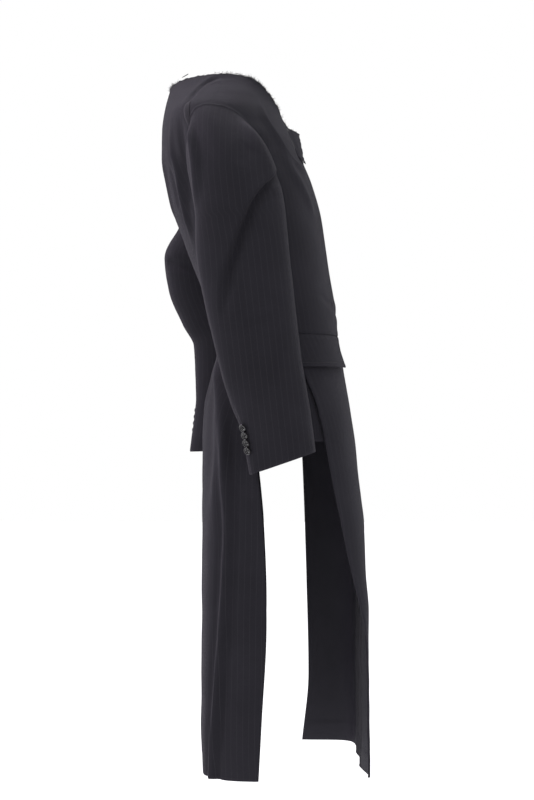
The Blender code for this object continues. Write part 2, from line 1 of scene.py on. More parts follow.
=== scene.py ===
"""Pinstripe coat, dressed for looks: every cut piece as a thin sheet of cloth on its solid's form, in metres.

+Z is up. The coat faces -Y and its right side is at -X. "Drop" is the distance below the shoulder
points. Angles round the body run from 0 at the centre front through 90 at the side to 180 at the centre back.
Turns round a sleeve run from 0 at its front through 90 at its outer side to 180 at its back. The tables give
lengths in millimetres and angles in degrees.
"""

import math
from functools import partial

import bpy
import numpy as np
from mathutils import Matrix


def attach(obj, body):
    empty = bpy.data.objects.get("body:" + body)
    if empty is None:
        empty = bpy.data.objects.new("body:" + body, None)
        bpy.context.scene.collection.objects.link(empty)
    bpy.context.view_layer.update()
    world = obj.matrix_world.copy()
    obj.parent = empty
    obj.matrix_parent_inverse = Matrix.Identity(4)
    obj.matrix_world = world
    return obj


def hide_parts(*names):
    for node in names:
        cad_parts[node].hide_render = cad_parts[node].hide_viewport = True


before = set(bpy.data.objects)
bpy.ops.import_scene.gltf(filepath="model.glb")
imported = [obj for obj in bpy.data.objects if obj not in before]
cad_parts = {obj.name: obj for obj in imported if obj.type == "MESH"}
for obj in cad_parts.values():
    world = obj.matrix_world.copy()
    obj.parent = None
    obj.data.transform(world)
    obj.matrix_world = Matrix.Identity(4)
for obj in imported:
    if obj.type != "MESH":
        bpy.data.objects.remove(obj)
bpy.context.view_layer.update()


# ---------- Camera and studio ----------
# The coat hangs in a plain white studio: one big soft light overhead, one high behind it and one high in front,
# a small low one that the buttons catch, and a white floor that runs out of sight.

WHITE = (1.0, 1.0, 1.0)
FLOOR_LEVEL = -1.45
scene = bpy.context.scene

lens = bpy.data.cameras.new("Camera")
lens.sensor_fit = "VERTICAL"
lens.sensor_height = 36.0
lens.lens = 75.0
camera = bpy.data.objects.new("Camera", lens)
camera.location = (-3.0, -0.063, -0.57)
camera.rotation_euler = (math.radians(90), 0.0, math.radians(-90))
scene.collection.objects.link(camera)
scene.camera = camera
scene.view_settings.view_transform = "Standard"


def give(tree, socket, value):
    """Set an input to a number, a vector or a colour of three numbers, or link an output to it."""
    if isinstance(value, bpy.types.NodeSocket):
        tree.links.new(value, socket)
    elif isinstance(value, tuple) and len(socket.default_value) == 4:
        socket.default_value = value + (1.0,)
    else:
        socket.default_value = value


def feed(tree, node, **values):
    """Give several inputs of a node by name, with _ for a space."""
    for label, value in values.items():
        give(tree, node.inputs[label.replace("_", " ")], value)
    return node


def add_node(tree, kind, **values):
    """New shader node with its inputs given."""
    return feed(tree, tree.nodes.new("ShaderNode" + kind), **values)


def calc(tree, operation, *values):
    """Result of a math node on sockets or numbers."""
    node = tree.nodes.new("ShaderNodeMath")
    node.operation = operation
    for socket, value in zip(node.inputs, values):
        give(tree, socket, value)
    return node.outputs["Value"]


def new_material(name, **values):
    """Material, its node tree and its Principled shader with the values set on the shader's own inputs."""
    made = bpy.data.materials.new(name)
    made.use_nodes = True
    return made, made.node_tree, feed(made.node_tree, made.node_tree.nodes["Principled BSDF"], **values)


def add_mesh(name, points, faces, *materials):
    """Smooth mesh object with its materials, in the scene."""
    mesh = bpy.data.meshes.new(name)
    mesh.from_pydata(points, [], faces)
    mesh.shade_smooth()
    for finish in materials:
        mesh.materials.append(finish)
    piece = bpy.data.objects.new(name, mesh)
    scene.collection.objects.link(piece)
    return piece


def softbox(name, place, aim, size, watts, colour=WHITE):
    """Rectangular soft light at a place, turned to face the aim with its upper side up."""
    lamp = bpy.data.lights.new(name, "AREA")
    lamp.shape = "RECTANGLE"
    lamp.size, lamp.size_y = size
    lamp.energy = watts
    lamp.color = colour
    holder = bpy.data.objects.new(name, lamp)
    holder.location = place
    x, y, z = (a - b for a, b in zip(aim, place))
    holder.rotation_euler = (math.atan2(math.hypot(x, y), -z), 0.0, math.atan2(-x, y))
    scene.collection.objects.link(holder)


world = bpy.data.worlds.new("Studio")
scene.world = world
world.use_nodes = True
tree = world.node_tree
ray = add_node(tree, "LightPath").outputs
seen = feed(tree, tree.nodes["Background"], Color=WHITE, Strength=1.0)
fill_level = calc(tree, "MULTIPLY_ADD", ray["Is Glossy Ray"], -0.8, 1.02)
fill = add_node(tree, "Background", Color=(0.97, 0.98, 1.0), Strength=fill_level)
by_ray = add_node(tree, "MixShader", Fac=ray["Is Camera Ray"])
give(tree, by_ray.inputs[1], fill.outputs["Background"])
give(tree, by_ray.inputs[2], seen.outputs["Background"])
feed(tree, tree.nodes["World Output"], Surface=by_ray.outputs["Shader"])

softbox("Overhead light", (0.8, -0.1, 1.75), (0.0, 0.0, -0.4), (1.8, 1.8), 9.0)
softbox("Back light", (0.35, 1.9, 1.8), (0.0, 0.0, -0.35), (1.0, 1.2), 50.0, (1.0, 0.87, 1.04))
softbox("Glint light", (-0.17, 1.03, -1.3), (-0.26, -0.03, -0.63), (0.24, 0.24), 0.8)
softbox("Front light", (-0.05, -1.1, 2.2), (0.0, -0.1, -0.3), (0.9, 0.9), 6.5)

paper, tree, shader = new_material("studio paper", Base_Color=(0.4, 0.4, 0.41), Roughness=0.9,
                                   Emission_Color=WHITE)
ray = add_node(tree, "LightPath").outputs
bounce = calc(tree, "MULTIPLY", ray["Is Diffuse Ray"], 0.84)
feed(tree, shader, Emission_Strength=calc(tree, "MULTIPLY_ADD", ray["Is Camera Ray"], 0.87, bounce))
add_mesh("floor", [(x, y, FLOOR_LEVEL) for x, y in ((-9, -9), (9, -9), (9, 9), (-9, 9))],
                  [(0, 1, 2, 3)], paper)


# ---------- Fronts, right over left ----------
# Each is cut in one from the shoulder seam to the waist seam, scooped at the neck, of dry charcoal worsted with
# a fine pale pinstripe, and lined. The closing is hidden under the right edge.

CLOTH = 0.0018
HEM_WALL = 0.003
BODY_RADIUS = 0.16
WAIST_DROP = 0.457
SIDE_HEM_DROP = 0.64
LONG_HEM_DROP = 1.2174
LAP = 0.012
LAP_GAP = 0.0013
LAP_FADE = (0.016, 0.057)
FRONT_FACING = 0.075
SIDES = ((-1, "right"), (1, "left"))

# Body sections: drop, half width, front depth, back depth, depth of the widest point, squareness front, back
BODY = np.array((
    (0, 92, -74, 107, 8, 2, 1.9),
    (20, 118, -74.5, 112.5, 13, 2, 1.95),
    (45, 158, -79.5, 118.5, 22, 2, 2),
    (72.5, 195.5, -91.5, 122.5, 34, 2, 2),
    (90, 203, -100.5, 124.5, 33, 2, 2),
    (115, 205.5, -112, 125.5, 28, 2.1, 2),
    (140, 196.5, -121.5, 125.3, 22, 2.1, 2.1),
    (185, 181, -141, 117, 12, 2.2, 2.2),
    (235, 172, -154.5, 105, 0, 2.3, 2.2),
    (285, 165.5, -163.5, 86.7, -18, 2.3, 2.3),
    (342, 161, -171.5, 65.3, -37, 2.3, 2.3),
    (385, 158, -178.5, 47.5, -52, 2.35, 2.3),
    (416, 156, -184, 35, -60, 2.4, 2.3),
    (457, 155.5, -187.5, 25.8, -66, 2.5, 2.4),
    (486, 159, -192, 26.2, -69, 2.6, 2.5),
    (517, 164, -196.5, 34.2, -72, 2.7, 2.6),
    (552, 169.5, -203, 42.4, -76, 2.9, 2.7),
    (585, 173.5, -209, 49, -80, 3.1, 2.8),
    (640, 178, -216.5, 52.2, -84, 3.4, 3),
    (745, 178, -228.5, 52.2, -88, 4, 3.3),
    (810, 177.5, -235, 52.2, -89, 4.4, 3.4),
    (924, 177, -235.2, 52.2, -90, 6, 3.7),
    (1020, 176.5, -233, 52.3, -90, 6.8, 3.8),
    (1160, 176, -234.5, 52.5, -90, 7.5, 4),
    (1217.4, 176, -234.5, 50.5, -90, 7.5, 4),
)) / (1000, 1000, 1000, 1000, 1000, 1, 1)

# Neck edge: angle round the body, drop
NECK = np.array((
    (0, 86.5), (8, 83), (16, 75.5), (26, 62.5), (36, 46.3), (47, 31), (57, 17), (66, 6), (78, 1), (90, 0),
    (120, 1.5), (139, 4), (160, 9), (180, 12),
)) / (1, 1000)

# Armhole: turn (front 0, shoulder 90, back 180, underarm 270), drop, depth
ARMHOLE = np.array((
    (-67.5, 238.5, -35), (-45, 222, -56), (-22.5, 188, -65), (0, 150, -53.5), (22.5, 113, -36), (45, 87, -15),
    (67.5, 75, 12), (90, 72.5, 34), (112.5, 76.5, 54), (135, 90, 64), (157.5, 118, 66.2), (180, 155, 64),
    (202.5, 203, 53), (225, 233, 35), (247.5, 243.5, 13), (270, 246, -10), (292.5, 238.5, -35),
)) / (1, 1000, 1000)

# Turns at which the side body's front and back seams and the back's own edge meet the armhole
FRONT_TURN = -67.5
BACK_TURN = 225.0
SHOULDER_TURN = 90.0
BACK_REST_TURN = 157.5

# Seams and open edges: drop, depth
FRONT_SEAM = np.array((
    (238.5, -35), (300, -66), (380, -92), (457, -108),
)) / 1000

# Soft folds: angle (less than 0 on the coat's right) and drop at the top, the same at the bottom, width,
# outward depth
FOLD_UNITS = (1, 1000, 1, 1000, 1000, 1000)
BODY_FOLDS = np.array((
    (-131, 700, -138, 1217, 22, 4), (-158, 500, -164, 1217, 22, -4), (132, 760, 140, 1217, 26, 6),
    (-172, 1080, -172, 1217, 30, -5), (188, 1080, 188, 1217, 30, -5), (150, 560, 154, 1217, 26, 6),
    (30, 720, 24, 1217, 30, -5), (-44, 860, -44, 1217, 24, 6), (-14, 800, -18, 1217, 32, -6),
)) / FOLD_UNITS

# Sharper creases: points (angle, drop) along the crease, width, outward height, how much wider
# its later side is, share of a low bank on the opposite sense beside it, and if not as usual the shares of its
# length over which it fades in and out
BODY_CREASES = (
    (((-56, 36), (-57, 80), (-54.5, 106), (-48.5, 126), (-42.5, 145), (-35, 158), (-23, 166), (-9, 176)),
      6.6, 5.9, -0.5, 0),
    (((-52.5, 126), (-46.5, 158), (-40.5, 188), (-34, 220), (-28.5, 262)), 12.5, 4.6, 0, 0),
    (((-115.5, 70), (-121, 140), (-120.5, 174), (-123, 208), (-124.5, 236), (-128, 266), (-136.5, 310)),
      6.5, 5.8, 0.1, 0.2),
    (((-106, 76), (-109, 128), (-111.5, 170), (-114.5, 210), (-118.5, 250)), 8.5, -5.6, 0, 0),
    (((-130, 160), (-131, 206), (-133, 244)), 8.5, -3, 0, 0),
    (((-144, 140), (-151.5, 190), (-160, 264)), 11, 3.2, 0, 0.2),
    (((-98.5, 100), (-101.5, 74), (-104, 55), (-106, 41), (-106, 27), (-102, 15), (-94, 10), (-76, 10)),
      4.6, -3.4, 0, 0.15, 0.42, 0.3),
    (((-139, 455), (-128, 530), (-123, 590), (-122.5, 650), (-124.5, 720), (-127, 830)), 16, 12.5, 0, 0.12),
    (((-121, 580), (-119.5, 670), (-119.5, 774), (-120.5, 842), (-121.7, 912), (-123.3, 980), (-124.8, 1032),
      (-125.8, 1082), (-127.8, 1151), (-129, 1217.4), (-129.5, 1260)), 5.6, 9.4, 0, 0.3, 0.12, 0.04),
    (((-106, 700), (-105, 820), (-105.5, 960)), 15, -3.2, 0, 0.1),
    (((50, 44), (52, 85), (49, 110), (42, 135), (33, 152), (20, 160), (8, 168)), 8, 5, -0.2, 0.25),
    (((64, 90), (61, 124), (56, 150), (51, 176), (45, 200)), 11, -1.6, 0, 0.1),
    (((117, 76), (120, 130), (123, 180), (125, 225), (132, 285)), 8, 3.6, 0, 0.2),
    (((107, 80), (110, 130), (113, 180), (117, 240)), 8, -3, 0, 0),
    (((146, 150), (153, 200), (160, 270)), 11, 2.8, 0, 0.2),
    (((104, 56), (108, 34), (106, 18), (99, 11), (87, 12)), 8.5, 3.6, 0, 0.2),
    (((149, 520), (140, 575), (134, 620), (131, 680), (132, 760)), 13, 4.2, 0, 0.2),
    (((127, 720), (129, 860), (128, 990), (131, 1120), (133, 1260)), 8.5, 4.6, 0.2, 0.3),
    (((-4, 424), (24, 404), (50, 384)), 7, -1.6, 0, 0.4),
    (((4, 424), (-24, 406), (-48, 390)), 7, -1.6, 0, 0.4),
    (((-128, 330), (-141, 380), (-160, 410)), 8, -1.8, 0, 0.4),
    (((128, 336), (143, 386), (162, 420)), 8, -1.8, 0, 0.4),
    (((-168, 436), (-146, 452), (-124, 446)), 9, -2, 0, 0.4),
    (((166, 432), (144, 450), (122, 448)), 9, -1.8, 0, 0.4),
)


def mix(first, second, share):
    """Mix of two values."""
    return first * (1 - share) + second * share


def cubic(start, leave, end, arrive, t):
    """Cubic curve from a start to an end with given slopes there."""
    return ((1 + 2 * t) * (1 - t) ** 2 * start + t * (1 - t) ** 2 * leave
            + t * t * (3 - 2 * t) * end - t * t * (1 - t) * arrive)


def smooth(table, column, at):
    """Cubic curve through one column of a table, read at values of its first column, without overshoot."""
    keys, values = table[:, 0], table[:, column]
    step = np.diff(keys)
    slope = np.diff(values) / step
    before, after = slope[:-1], slope[1:]
    same = before * after > 0
    tangent = np.r_[slope[0], np.where(same, 2 * before * after / np.where(same, before + after, 1), 0), slope[-1]]
    at = np.clip(at, keys[0], keys[-1])
    cell = np.clip(np.searchsorted(keys, at, side="right") - 1, 0, len(step) - 1)
    return cubic(values[cell], step[cell] * tangent[cell], values[cell + 1], step[cell] * tangent[cell + 1],
                 (at - keys[cell]) / step[cell])


def ramp(value, start, end):
    """Soft step from 0 at start to 1 at end."""
    t = np.clip((value - start) / (end - start), 0, 1)
    return t * t * (3 - 2 * t)


def unit(vectors):
    """Vectors of length 1."""
    return vectors / np.maximum(np.linalg.norm(vectors, axis=-1, keepdims=True), 1e-12)


def fold_height(folds, turn, drop, radius):
    """Sum of folds: a soft ridge or trough along each fold's line, fading at its ends. Places on the cloth are
    complex numbers, across and down, here and below."""
    height = np.zeros(np.broadcast(turn, drop).shape)
    for turn_0, drop_0, turn_1, drop_1, width, depth in folds:
        run = math.radians(turn_1 - turn_0) * radius + 1j * (drop_1 - drop_0)
        spot = (np.radians(turn - turn_0) * radius + 1j * (drop - drop_0)) * run.conjugate() / abs(run)
        fade = ramp(spot.real, -width, 3 * width)
        if drop_1 < LONG_HEM_DROP - width:
            fade = fade * (1 - ramp(spot.real, abs(run) - 3 * width, abs(run) + width))
        height += depth * fade * np.exp(-((spot.imag / width) ** 2))
    return height


def crease_height(creases, turn, drop, radius):
    """Sum of creases. Each follows a curve through its points. Its height is a bell of the distance off that
    curve, wider on its later side by the skew, less a low bank two widths out, and it dies out at both ends."""
    spots = np.asarray(np.radians(turn) * radius + 1j * np.asarray(drop))
    total = np.zeros(spots.shape)
    for points, width, height, skew, bank, *ends in creases:
        start_fade, end_fade = ends or (0.22, 0.25)
        width = width / 1000
        table = np.c_[np.arange(len(points)), np.array(points) * (math.radians(radius), 0.001)]
        at = np.linspace(0, len(points) - 1, 6 * len(points))
        path = smooth(table, 1, at) + 1j * smooth(table, 2, at)
        reach = 4.5 * width
        near = ((spots.real > path.real.min() - reach) & (spots.real < path.real.max() + reach)
                & (spots.imag > path.imag.min() - reach) & (spots.imag < path.imag.max() + reach))
        if not near.any():
            continue
        run = np.diff(path)
        offset = spots[near][:, None] - path[:-1]
        along = np.clip((offset / run).real, 0, 1)
        gap = np.abs(offset - along * run)
        best = (np.arange(len(gap)), gap.argmin(axis=1))
        off = -gap[best] * np.sign((offset / run).imag[best])
        share = (best[1] + along[best]) / len(run)
        broad = width * np.where(off > 0, 1 + skew, 1 - skew)
        bell = np.exp(-((off / broad) ** 2)) - bank * np.exp(-(((np.abs(off) - 2 * broad) / broad) ** 2))
        total[near] += height / 1000 * bell * ramp(share, 0.0, start_fade) * (1 - ramp(share, 1 - end_fade, 1.0))
    return total


def run_length(points, axis):
    """Length up to each point along one axis of a line or grid of points."""
    steps = np.diff(points, axis=axis, prepend=np.take(points, [0], axis))
    return np.cumsum(np.linalg.norm(steps, axis=-1), axis=axis)


def swell(x, y, z, length, seed):
    """Slow unevenness of hanging cloth: the mean of eight sine waves in fixed directions, about 1 at most."""
    shape = np.random.default_rng(seed)
    total = 0.0
    for direction, stretch, phase in zip(unit(shape.normal(size=(8, 3)) * (1, 1, 0.45)),
                                         shape.uniform(0.6, 1.6, 8), shape.uniform(0, 2 * math.pi, 8)):
        total = total + np.sin((x * direction[0] + y * direction[1] + z * direction[2])
                               * 2 * math.pi * stretch / length + phase)
    return total / 4


def body_outline(angle, drop):
    """Depth and distance out of the plain body at an angle and a drop, from its sections."""
    half_width, front, back, middle, square_front, square_back = (smooth(BODY, k, drop) for k in range(1, 7))
    turn = np.radians(angle)
    in_front = np.cos(turn) > 0
    reach = np.where(in_front, middle - front, back - middle)
    power = np.where(in_front, square_front, square_back)
    across = (np.abs(np.sin(turn)) / half_width) ** power
    radius = (across + (np.abs(np.cos(turn)) / reach) ** power) ** (-1 / power)
    return middle - radius * np.cos(turn), radius * np.sin(turn)


def neck_stand(angle, drop):
    """How far the slack front of the raw neck edge stands off."""
    beside = ramp(angle, 18.0, 32.0) * (1 - ramp(angle, 56.0, 72.0))
    return 0.0065 * beside * np.exp(-np.maximum(drop - smooth(NECK, 1, angle), 0) / 0.016)


def body_point(side, angle, drop, lift=0.0):
    """Point on the coat's outside, side -1 at its right: the plain outline moved along its normal by
    the lift, the folds, the creases and a slight unevenness."""

    def plain(angle, drop):
        depth, out = body_outline(angle, drop)
        return np.stack(np.broadcast_arrays(out, depth, -drop), -1)

    angle, drop = np.asarray(angle, float), np.asarray(drop, float)
    point = plain(angle, drop)
    normal = unit(np.cross(plain(angle, drop + 0.001) - point, plain(angle + 0.5, drop) - point))
    height = (lift + fold_height(BODY_FOLDS, side * angle, drop, BODY_RADIUS)
              + crease_height(BODY_CREASES, side * angle, drop, BODY_RADIUS) + neck_stand(np.abs(angle), drop)
              + 0.0007 * ramp(drop, 0.0, 0.08) * swell(side * point[..., 0], point[..., 1], drop, 0.11, 4))
    return (point + normal * np.asarray(height)[..., None]) * (side, 1, 1)


def angle_at(drop, depth):
    """Angle round the body at which the outline passes a depth, for arrays of drops and depths."""
    angles = np.linspace(0.0, 180.0, 721)
    drop, depth = np.broadcast_arrays(np.asarray(drop, float), np.asarray(depth, float))
    outline = body_outline(angles[None, :], drop.reshape(-1, 1))[0]
    cell = np.clip((outline < depth.reshape(-1, 1)).sum(axis=1) - 1, 0, len(angles) - 2)
    row = np.arange(len(cell))
    low = outline[row, cell]
    high = outline[row, cell + 1]
    share = np.clip((depth.ravel() - low) / np.maximum(high - low, 1e-9), 0, 1)
    return (angles[cell] + 0.25 * share).reshape(drop.shape)


HOLE = np.c_[ARMHOLE[:, 0], angle_at(ARMHOLE[:, 1], ARMHOLE[:, 2]), ARMHOLE[:, 1]]
HOLE = np.r_[HOLE[-4:-1] - (360, 0, 0), HOLE, HOLE[1:4] + (360, 0, 0)]


def armhole(turn):
    """Angle and drop of the armhole's edge at a turn, on a smooth loop through its marked points."""
    return smooth(HOLE, 1, turn), smooth(HOLE, 2, turn)


def edge(table, drop):
    """Angle of a seam or an open edge at a drop."""
    return angle_at(drop, smooth(table, 1, drop))


def front_reach(drop):
    """Distance from the body's widest point to its front."""
    return smooth(BODY, 4, drop) - smooth(BODY, 2, drop)


def lap_angle(drop):
    """Angle past the centre front of the lap's edge."""
    return np.degrees(LAP / front_reach(drop))


def lap_lift(side, angle, drop):
    """Height of the right front where it lies over the left."""
    if side > 0:
        return np.zeros(np.shape(angle))
    return (CLOTH + LAP_GAP) * (1 - ramp(np.radians(angle) * front_reach(drop), *LAP_FADE))


# Distances from an edge of the finest rows of a grid
FINE = np.array((0.0, 0.0005, 0.0012, 0.0023, 0.004, 0.0065))


def spaced(length, step, fine_start=True, fine_end=True):
    """Shares from 0 to 1 along an edge, about one step apart, with fine cells at the ends that need them."""
    start = FINE / length if fine_start else np.zeros(1)
    end = 1 - FINE[::-1] / length if fine_end else np.ones(1)
    count = max(2, int(math.ceil((end[0] - start[-1]) * length / step)))
    return np.r_[start[:-1], np.linspace(start[-1], end[0], count + 1), end[1:]]


def graded(width, count):
    """Shares across each row of a grid: fine cells beside both edges and even ones between."""
    near = FINE[None, :] * np.minimum(1.0, 0.6 * width / (2 * FINE[-1]))[:, None] / width[:, None]
    middle = near[:, -1:] + (1 - 2 * near[:, -1:]) * np.linspace(0, 1, count + 1)[None, :]
    return np.concatenate((near[:, :-1], middle, 1 - near[:, -2::-1]), axis=1)


def panel_grid(inner, outer, count):
    """Angle and drop of a grid whose rows run straight from the inner to the outer edge."""
    ends = [np.stack(body_outline(*e) + (e[1],), -1) for e in (inner, outer)]
    share = graded(np.maximum(np.linalg.norm(ends[0] - ends[1], axis=-1), 0.01), count)
    return (mix(inner[k][:, None], outer[k][:, None], share) for k in (0, 1))


def edge_distances(points):
    """Distance along the cloth of each grid point from the first column, last column, top row and bottom row."""
    across, down = run_length(points, 1), run_length(points, 0)
    return across, across[:, -1:] - across, down, down[-1:] - down


def grid_normals(points, side):
    """Outward normals of a grid, rows down and columns from front to back."""
    return unit(np.cross(np.gradient(points, axis=0), np.gradient(points, axis=1))) * side


# Edge relief: bells (height, width, distance from the edge); share and length of their unevenness; pucker's
# height, reach, length and seed
RELIEF = {
    "seam": (((-0.0011, 0.0013, 0), (0.0005, 0.0034, 0.0068)), (0.35, 0.05), (0.00022, 0.011, 0.013, 1)),
    "pressed": (((-0.0002, 0.001, 0),), (0, 0), (0.00015, 0.011, 0.013, 1)),
    "armhole": (((0.001, 0.0026, 0),), (0.5, 0.04), (0.00022, 0.011, 0.013, 1)),
    "hem": (((-0.0008, 0.001, 0),), (0, 0), (0.0006, 0.02, 0.09, 0)),
    "turned": (((-0.0008, 0.001, 0), (0.0003, 0.002, 0.004)), (0, 0), (0.0004, 0.015, 0.06, 0)),
    "raw": (((-0.0005, 0.0008, 0),), (0, 0), (0.0007, 0.004, 0.011, 0)),
}
# A hem stands higher up to a step; the width over which an edge is doubled; reach of the painted highlight that
# makes hemmed and raw edges paler
HEM_RISE = 0.0003
HEM_STEP = (0.0355, 0.0385)
TURNED_UP = {"hem": (0.034, 0.038), "turned": (0.01, 0.014)}
EDGE_HIGHLIGHT_REACH = 0.0022


def edge_relief(kind, distance, along, seed):
    """Small relief beside an edge. A seam sinks at the stitching, its allowance shows as a low ridge 6 mm
    away, and it puckers; a hem rolls over and is thicker over its turned width; a raw edge only thins out."""
    bells, (uneven, length), (pucker, reach, ripple, later) = RELIEF[kind]
    height = sum(high * np.exp(-(((distance - centre) / width) ** 2)) for high, width, centre in bells)
    if uneven:
        height = height * (1 + uneven * swell(along, 0, 0, length, seed))
    if kind == "hem":
        height = height + HEM_RISE * (1 - ramp(distance, *HEM_STEP))
    return height + pucker * np.exp(-distance / reach) * swell(along, 0, 0, ripple, seed + later)


def girth(angle, drop):
    """Length round the body from the centre front to an angle, at a drop, read between worked-out rows."""
    level = np.clip(drop, 0, LONG_HEM_DROP) / LONG_HEM_DROP * (len(GIRTH) - 1)
    place = (np.clip(angle, -12, 192) + 12) / 204 * (GIRTH.shape[1] - 1)
    row = np.clip(level.astype(int), 0, len(GIRTH) - 2)
    column = np.clip(place.astype(int), 0, GIRTH.shape[1] - 2)
    s, t = level - row, place - column
    return mix(*(mix(GIRTH[k, column], GIRTH[k, column + 1], t) for k in (row, row + 1)), s)


round_angles = np.linspace(-12, 192, 409)
round_drops = np.linspace(0, LONG_HEM_DROP, 181)
outline = np.stack(body_outline(round_angles[None, :], round_drops[:, None]), -1)
GIRTH = run_length(outline, 1)
GIRTH = GIRTH - GIRTH[:, 24:25]


def stripe_map(angle, drop, from_back=False):
    """Where each point lay on the flat cloth, in metres: across from the centre line, and down. Over the
    shoulder the distance across is the plain distance out, so the stripes run on towards the neck."""
    depth, out = body_outline(angle, drop)
    round_way = girth(angle, drop)
    if from_back:
        round_way = girth(180.0 + 0 * angle, drop) - round_way
    low = ramp(drop, 0.04, 0.13)
    down = drop + 0.75 * (1 - low) * np.abs(depth - 0.034)
    return np.stack((mix(out, round_way, low), down), -1)


def declare(points, node):
    """Hide the solid that a cut piece stands for; the distances along its grid are worked out but not used."""
    reach = edge_distances(points)
    if node:
        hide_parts(node)


def add_cloth(name, node, points, side, flat_map, kinds, materials, seed, thickness=CLOTH, hem_wall=HEM_WALL,
              facing=0.0):
    """Sheet of cloth that stands for the solid called node, from a grid of outer points, rows down and columns
    from front to back: edge relief is added, then Solidify gives it a wall inward, thicker where a hem is turned
    up. A kind for each edge, or two kinds and the share of the second. The inside is the second material, but
    within the facing's width of the first column it is the fourth."""
    distances = edge_distances(points)
    alongs = (distances[2], distances[2], distances[0], distances[0])
    height, edge_lit, hem = np.zeros((3,) + points.shape[:2])
    for k, (kind, distance) in enumerate(zip(kinds, distances)):
        if isinstance(kind, tuple):
            height += mix(*(edge_relief(one, distance, alongs[k], seed + 10 * k) for one in kind[:2]), kind[2])
            continue
        if kind:
            height += edge_relief(kind, distance, alongs[k], seed + 10 * k)
        # Hemmed and raw edges get a mask for a painted highlight that makes the cloth paler beside them.
        if kind in ("hem", "turned", "raw"):
            edge_lit = np.maximum(edge_lit, np.exp(-distance / EDGE_HIGHLIGHT_REACH))
        if kind in TURNED_UP:
            hem = np.maximum(hem, 1 - ramp(distance, *TURNED_UP[kind]))
    raised = points + grid_normals(points, side) * height[..., None]
    corner = np.arange(height.size).reshape(height.shape)
    quads = np.stack((corner[:-1, :-1], corner[1:, :-1], corner[1:, 1:], corner[:-1, 1:]), -1).reshape(-1, 4)
    if side < 0:
        quads = quads[:, ::-1]
    piece = add_mesh(name, raised.reshape(-1, 3), quads, *materials)
    mesh = piece.data
    layer = mesh.uv_layers.new(name="cloth")
    layer.data.foreach_set("uv", flat_map.reshape(-1, 2)[quads.ravel()].ravel().astype(np.float32))
    rub = mesh.attributes.new("edge_highlight", "FLOAT", "POINT")
    rub.data.foreach_set("value", edge_lit.ravel().astype(np.float32))
    group = piece.vertex_groups.new(name="turned up")
    for weight in (0.25, 0.5, 0.75, 1.0):
        members = np.flatnonzero((hem.ravel() > weight - 0.25) & (hem.ravel() <= weight))
        if len(members):
            group.add(members.tolist(), weight, "REPLACE")
    wall = piece.modifiers.new("Cloth thickness", "SOLIDIFY")
    wall.thickness = thickness
    wall.offset = -1.0
    if hem.max() > 0:
        wall.thickness = hem_wall
        wall.vertex_group = "turned up"
        wall.thickness_vertex_group = thickness / hem_wall
    if facing:
        faced = np.where(distances[0][:-1, :-1] < facing, 2, 0)
        mesh.polygons.foreach_set("material_index", faced.ravel().astype(np.int32))
    if len(materials) > 1:
        wall.material_offset = 1
        wall.material_offset_rim = 0
    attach(piece, "root")
    declare(points, node)


# Worsted: charcoal twill, a little uneven in shade as yarns are, with pale stripes one or two threads wide

def add_group(name, inputs, outputs):
    """Empty node group. An input is a number with its default, or a vector where that is None."""
    group = bpy.data.node_groups.new(name, "ShaderNodeTree")
    for label, value in inputs.items():
        kind = "NodeSocketVector" if value is None else "NodeSocketFloat"
        socket = group.interface.new_socket(name=label, in_out="INPUT", socket_type=kind)
        if value is not None:
            socket.default_value = value
    for label in outputs:
        group.interface.new_socket(name=label, in_out="OUTPUT", socket_type="NodeSocketFloat")
    return group, group.nodes.new("NodeGroupInput").outputs, group.nodes.new("NodeGroupOutput").inputs


def noise(tree, vector, scale, detail=2.0, roughness=0.5):
    """Noise of a vector at a scale."""
    return add_node(tree, "TexNoise", Vector=vector, Scale=scale, Detail=detail, Roughness=roughness).outputs["Fac"]


pinstripe, taken, given = add_group("Pinstripe", {"Cloth": None, "Spacing": 0.012, "Width": 0.0006}, ("Mask",))
do = partial(calc, pinstripe)
flat = add_node(pinstripe, "SeparateXYZ", Vector=taken["Cloth"]).outputs
wander = do("MULTIPLY", do("SUBTRACT", noise(pinstripe, taken["Cloth"], 60.0), 0.5), 0.0004)
place = do("DIVIDE", do("ADD", flat["X"], wander), taken["Spacing"])
off = do("MULTIPLY", do("ABSOLUTE", do("SUBTRACT", do("FRACT", place), 0.5)), taken["Spacing"])
body = do("MAXIMUM", do("SUBTRACT", 1.0, do("DIVIDE", off, taken["Width"])), 0.0)
pins = do("ADD", do("MULTIPLY", do("SINE", do("MULTIPLY", flat["Y"], 5200.0)), 0.3), 0.7)
give(pinstripe, given["Mask"], do("MULTIPLY", body, pins))

twill, taken, given = add_group("Twill weave", {"Cloth": None, "Pitch": 0.0007}, ("Height",))
do = partial(calc, twill)
flat = add_node(twill, "SeparateXYZ", Vector=taken["Cloth"]).outputs
rate = do("DIVIDE", 2 * math.pi, taken["Pitch"])
ribs = do("SINE", do("MULTIPLY", do("ADD", flat["X"], do("MULTIPLY", flat["Y"], 0.62)), rate))
yarn = do("SINE", do("MULTIPLY", flat["Y"], do("MULTIPLY", rate, 1.7)))
weave = do("ADD", do("MULTIPLY", ribs, 0.35), do("MULTIPLY", yarn, 0.15))
give(twill, given["Height"], do("ADD", weave, noise(twill, taken["Cloth"], 900.0, 3.0)))

melange, taken, given = add_group("Yarn shade", {"Cloth": None, "Place": None}, ("Fine", "Cloud"))
stretched = add_node(melange, "Mapping", Vector=taken["Cloth"], Scale=(1.0, 0.35, 1.0)).outputs["Vector"]
give(melange, given["Fine"], noise(melange, stretched, 1100.0, 4.0, 0.7))
give(melange, given["Cloud"], noise(melange, taken["Place"], 9.0, 3.0, 0.55))


def place_group(tree, group, **values):
    """Outputs of a node group placed in a material, with its inputs given."""
    node = tree.nodes.new("ShaderNodeGroup")
    node.node_tree = group
    return feed(tree, node, **values).outputs


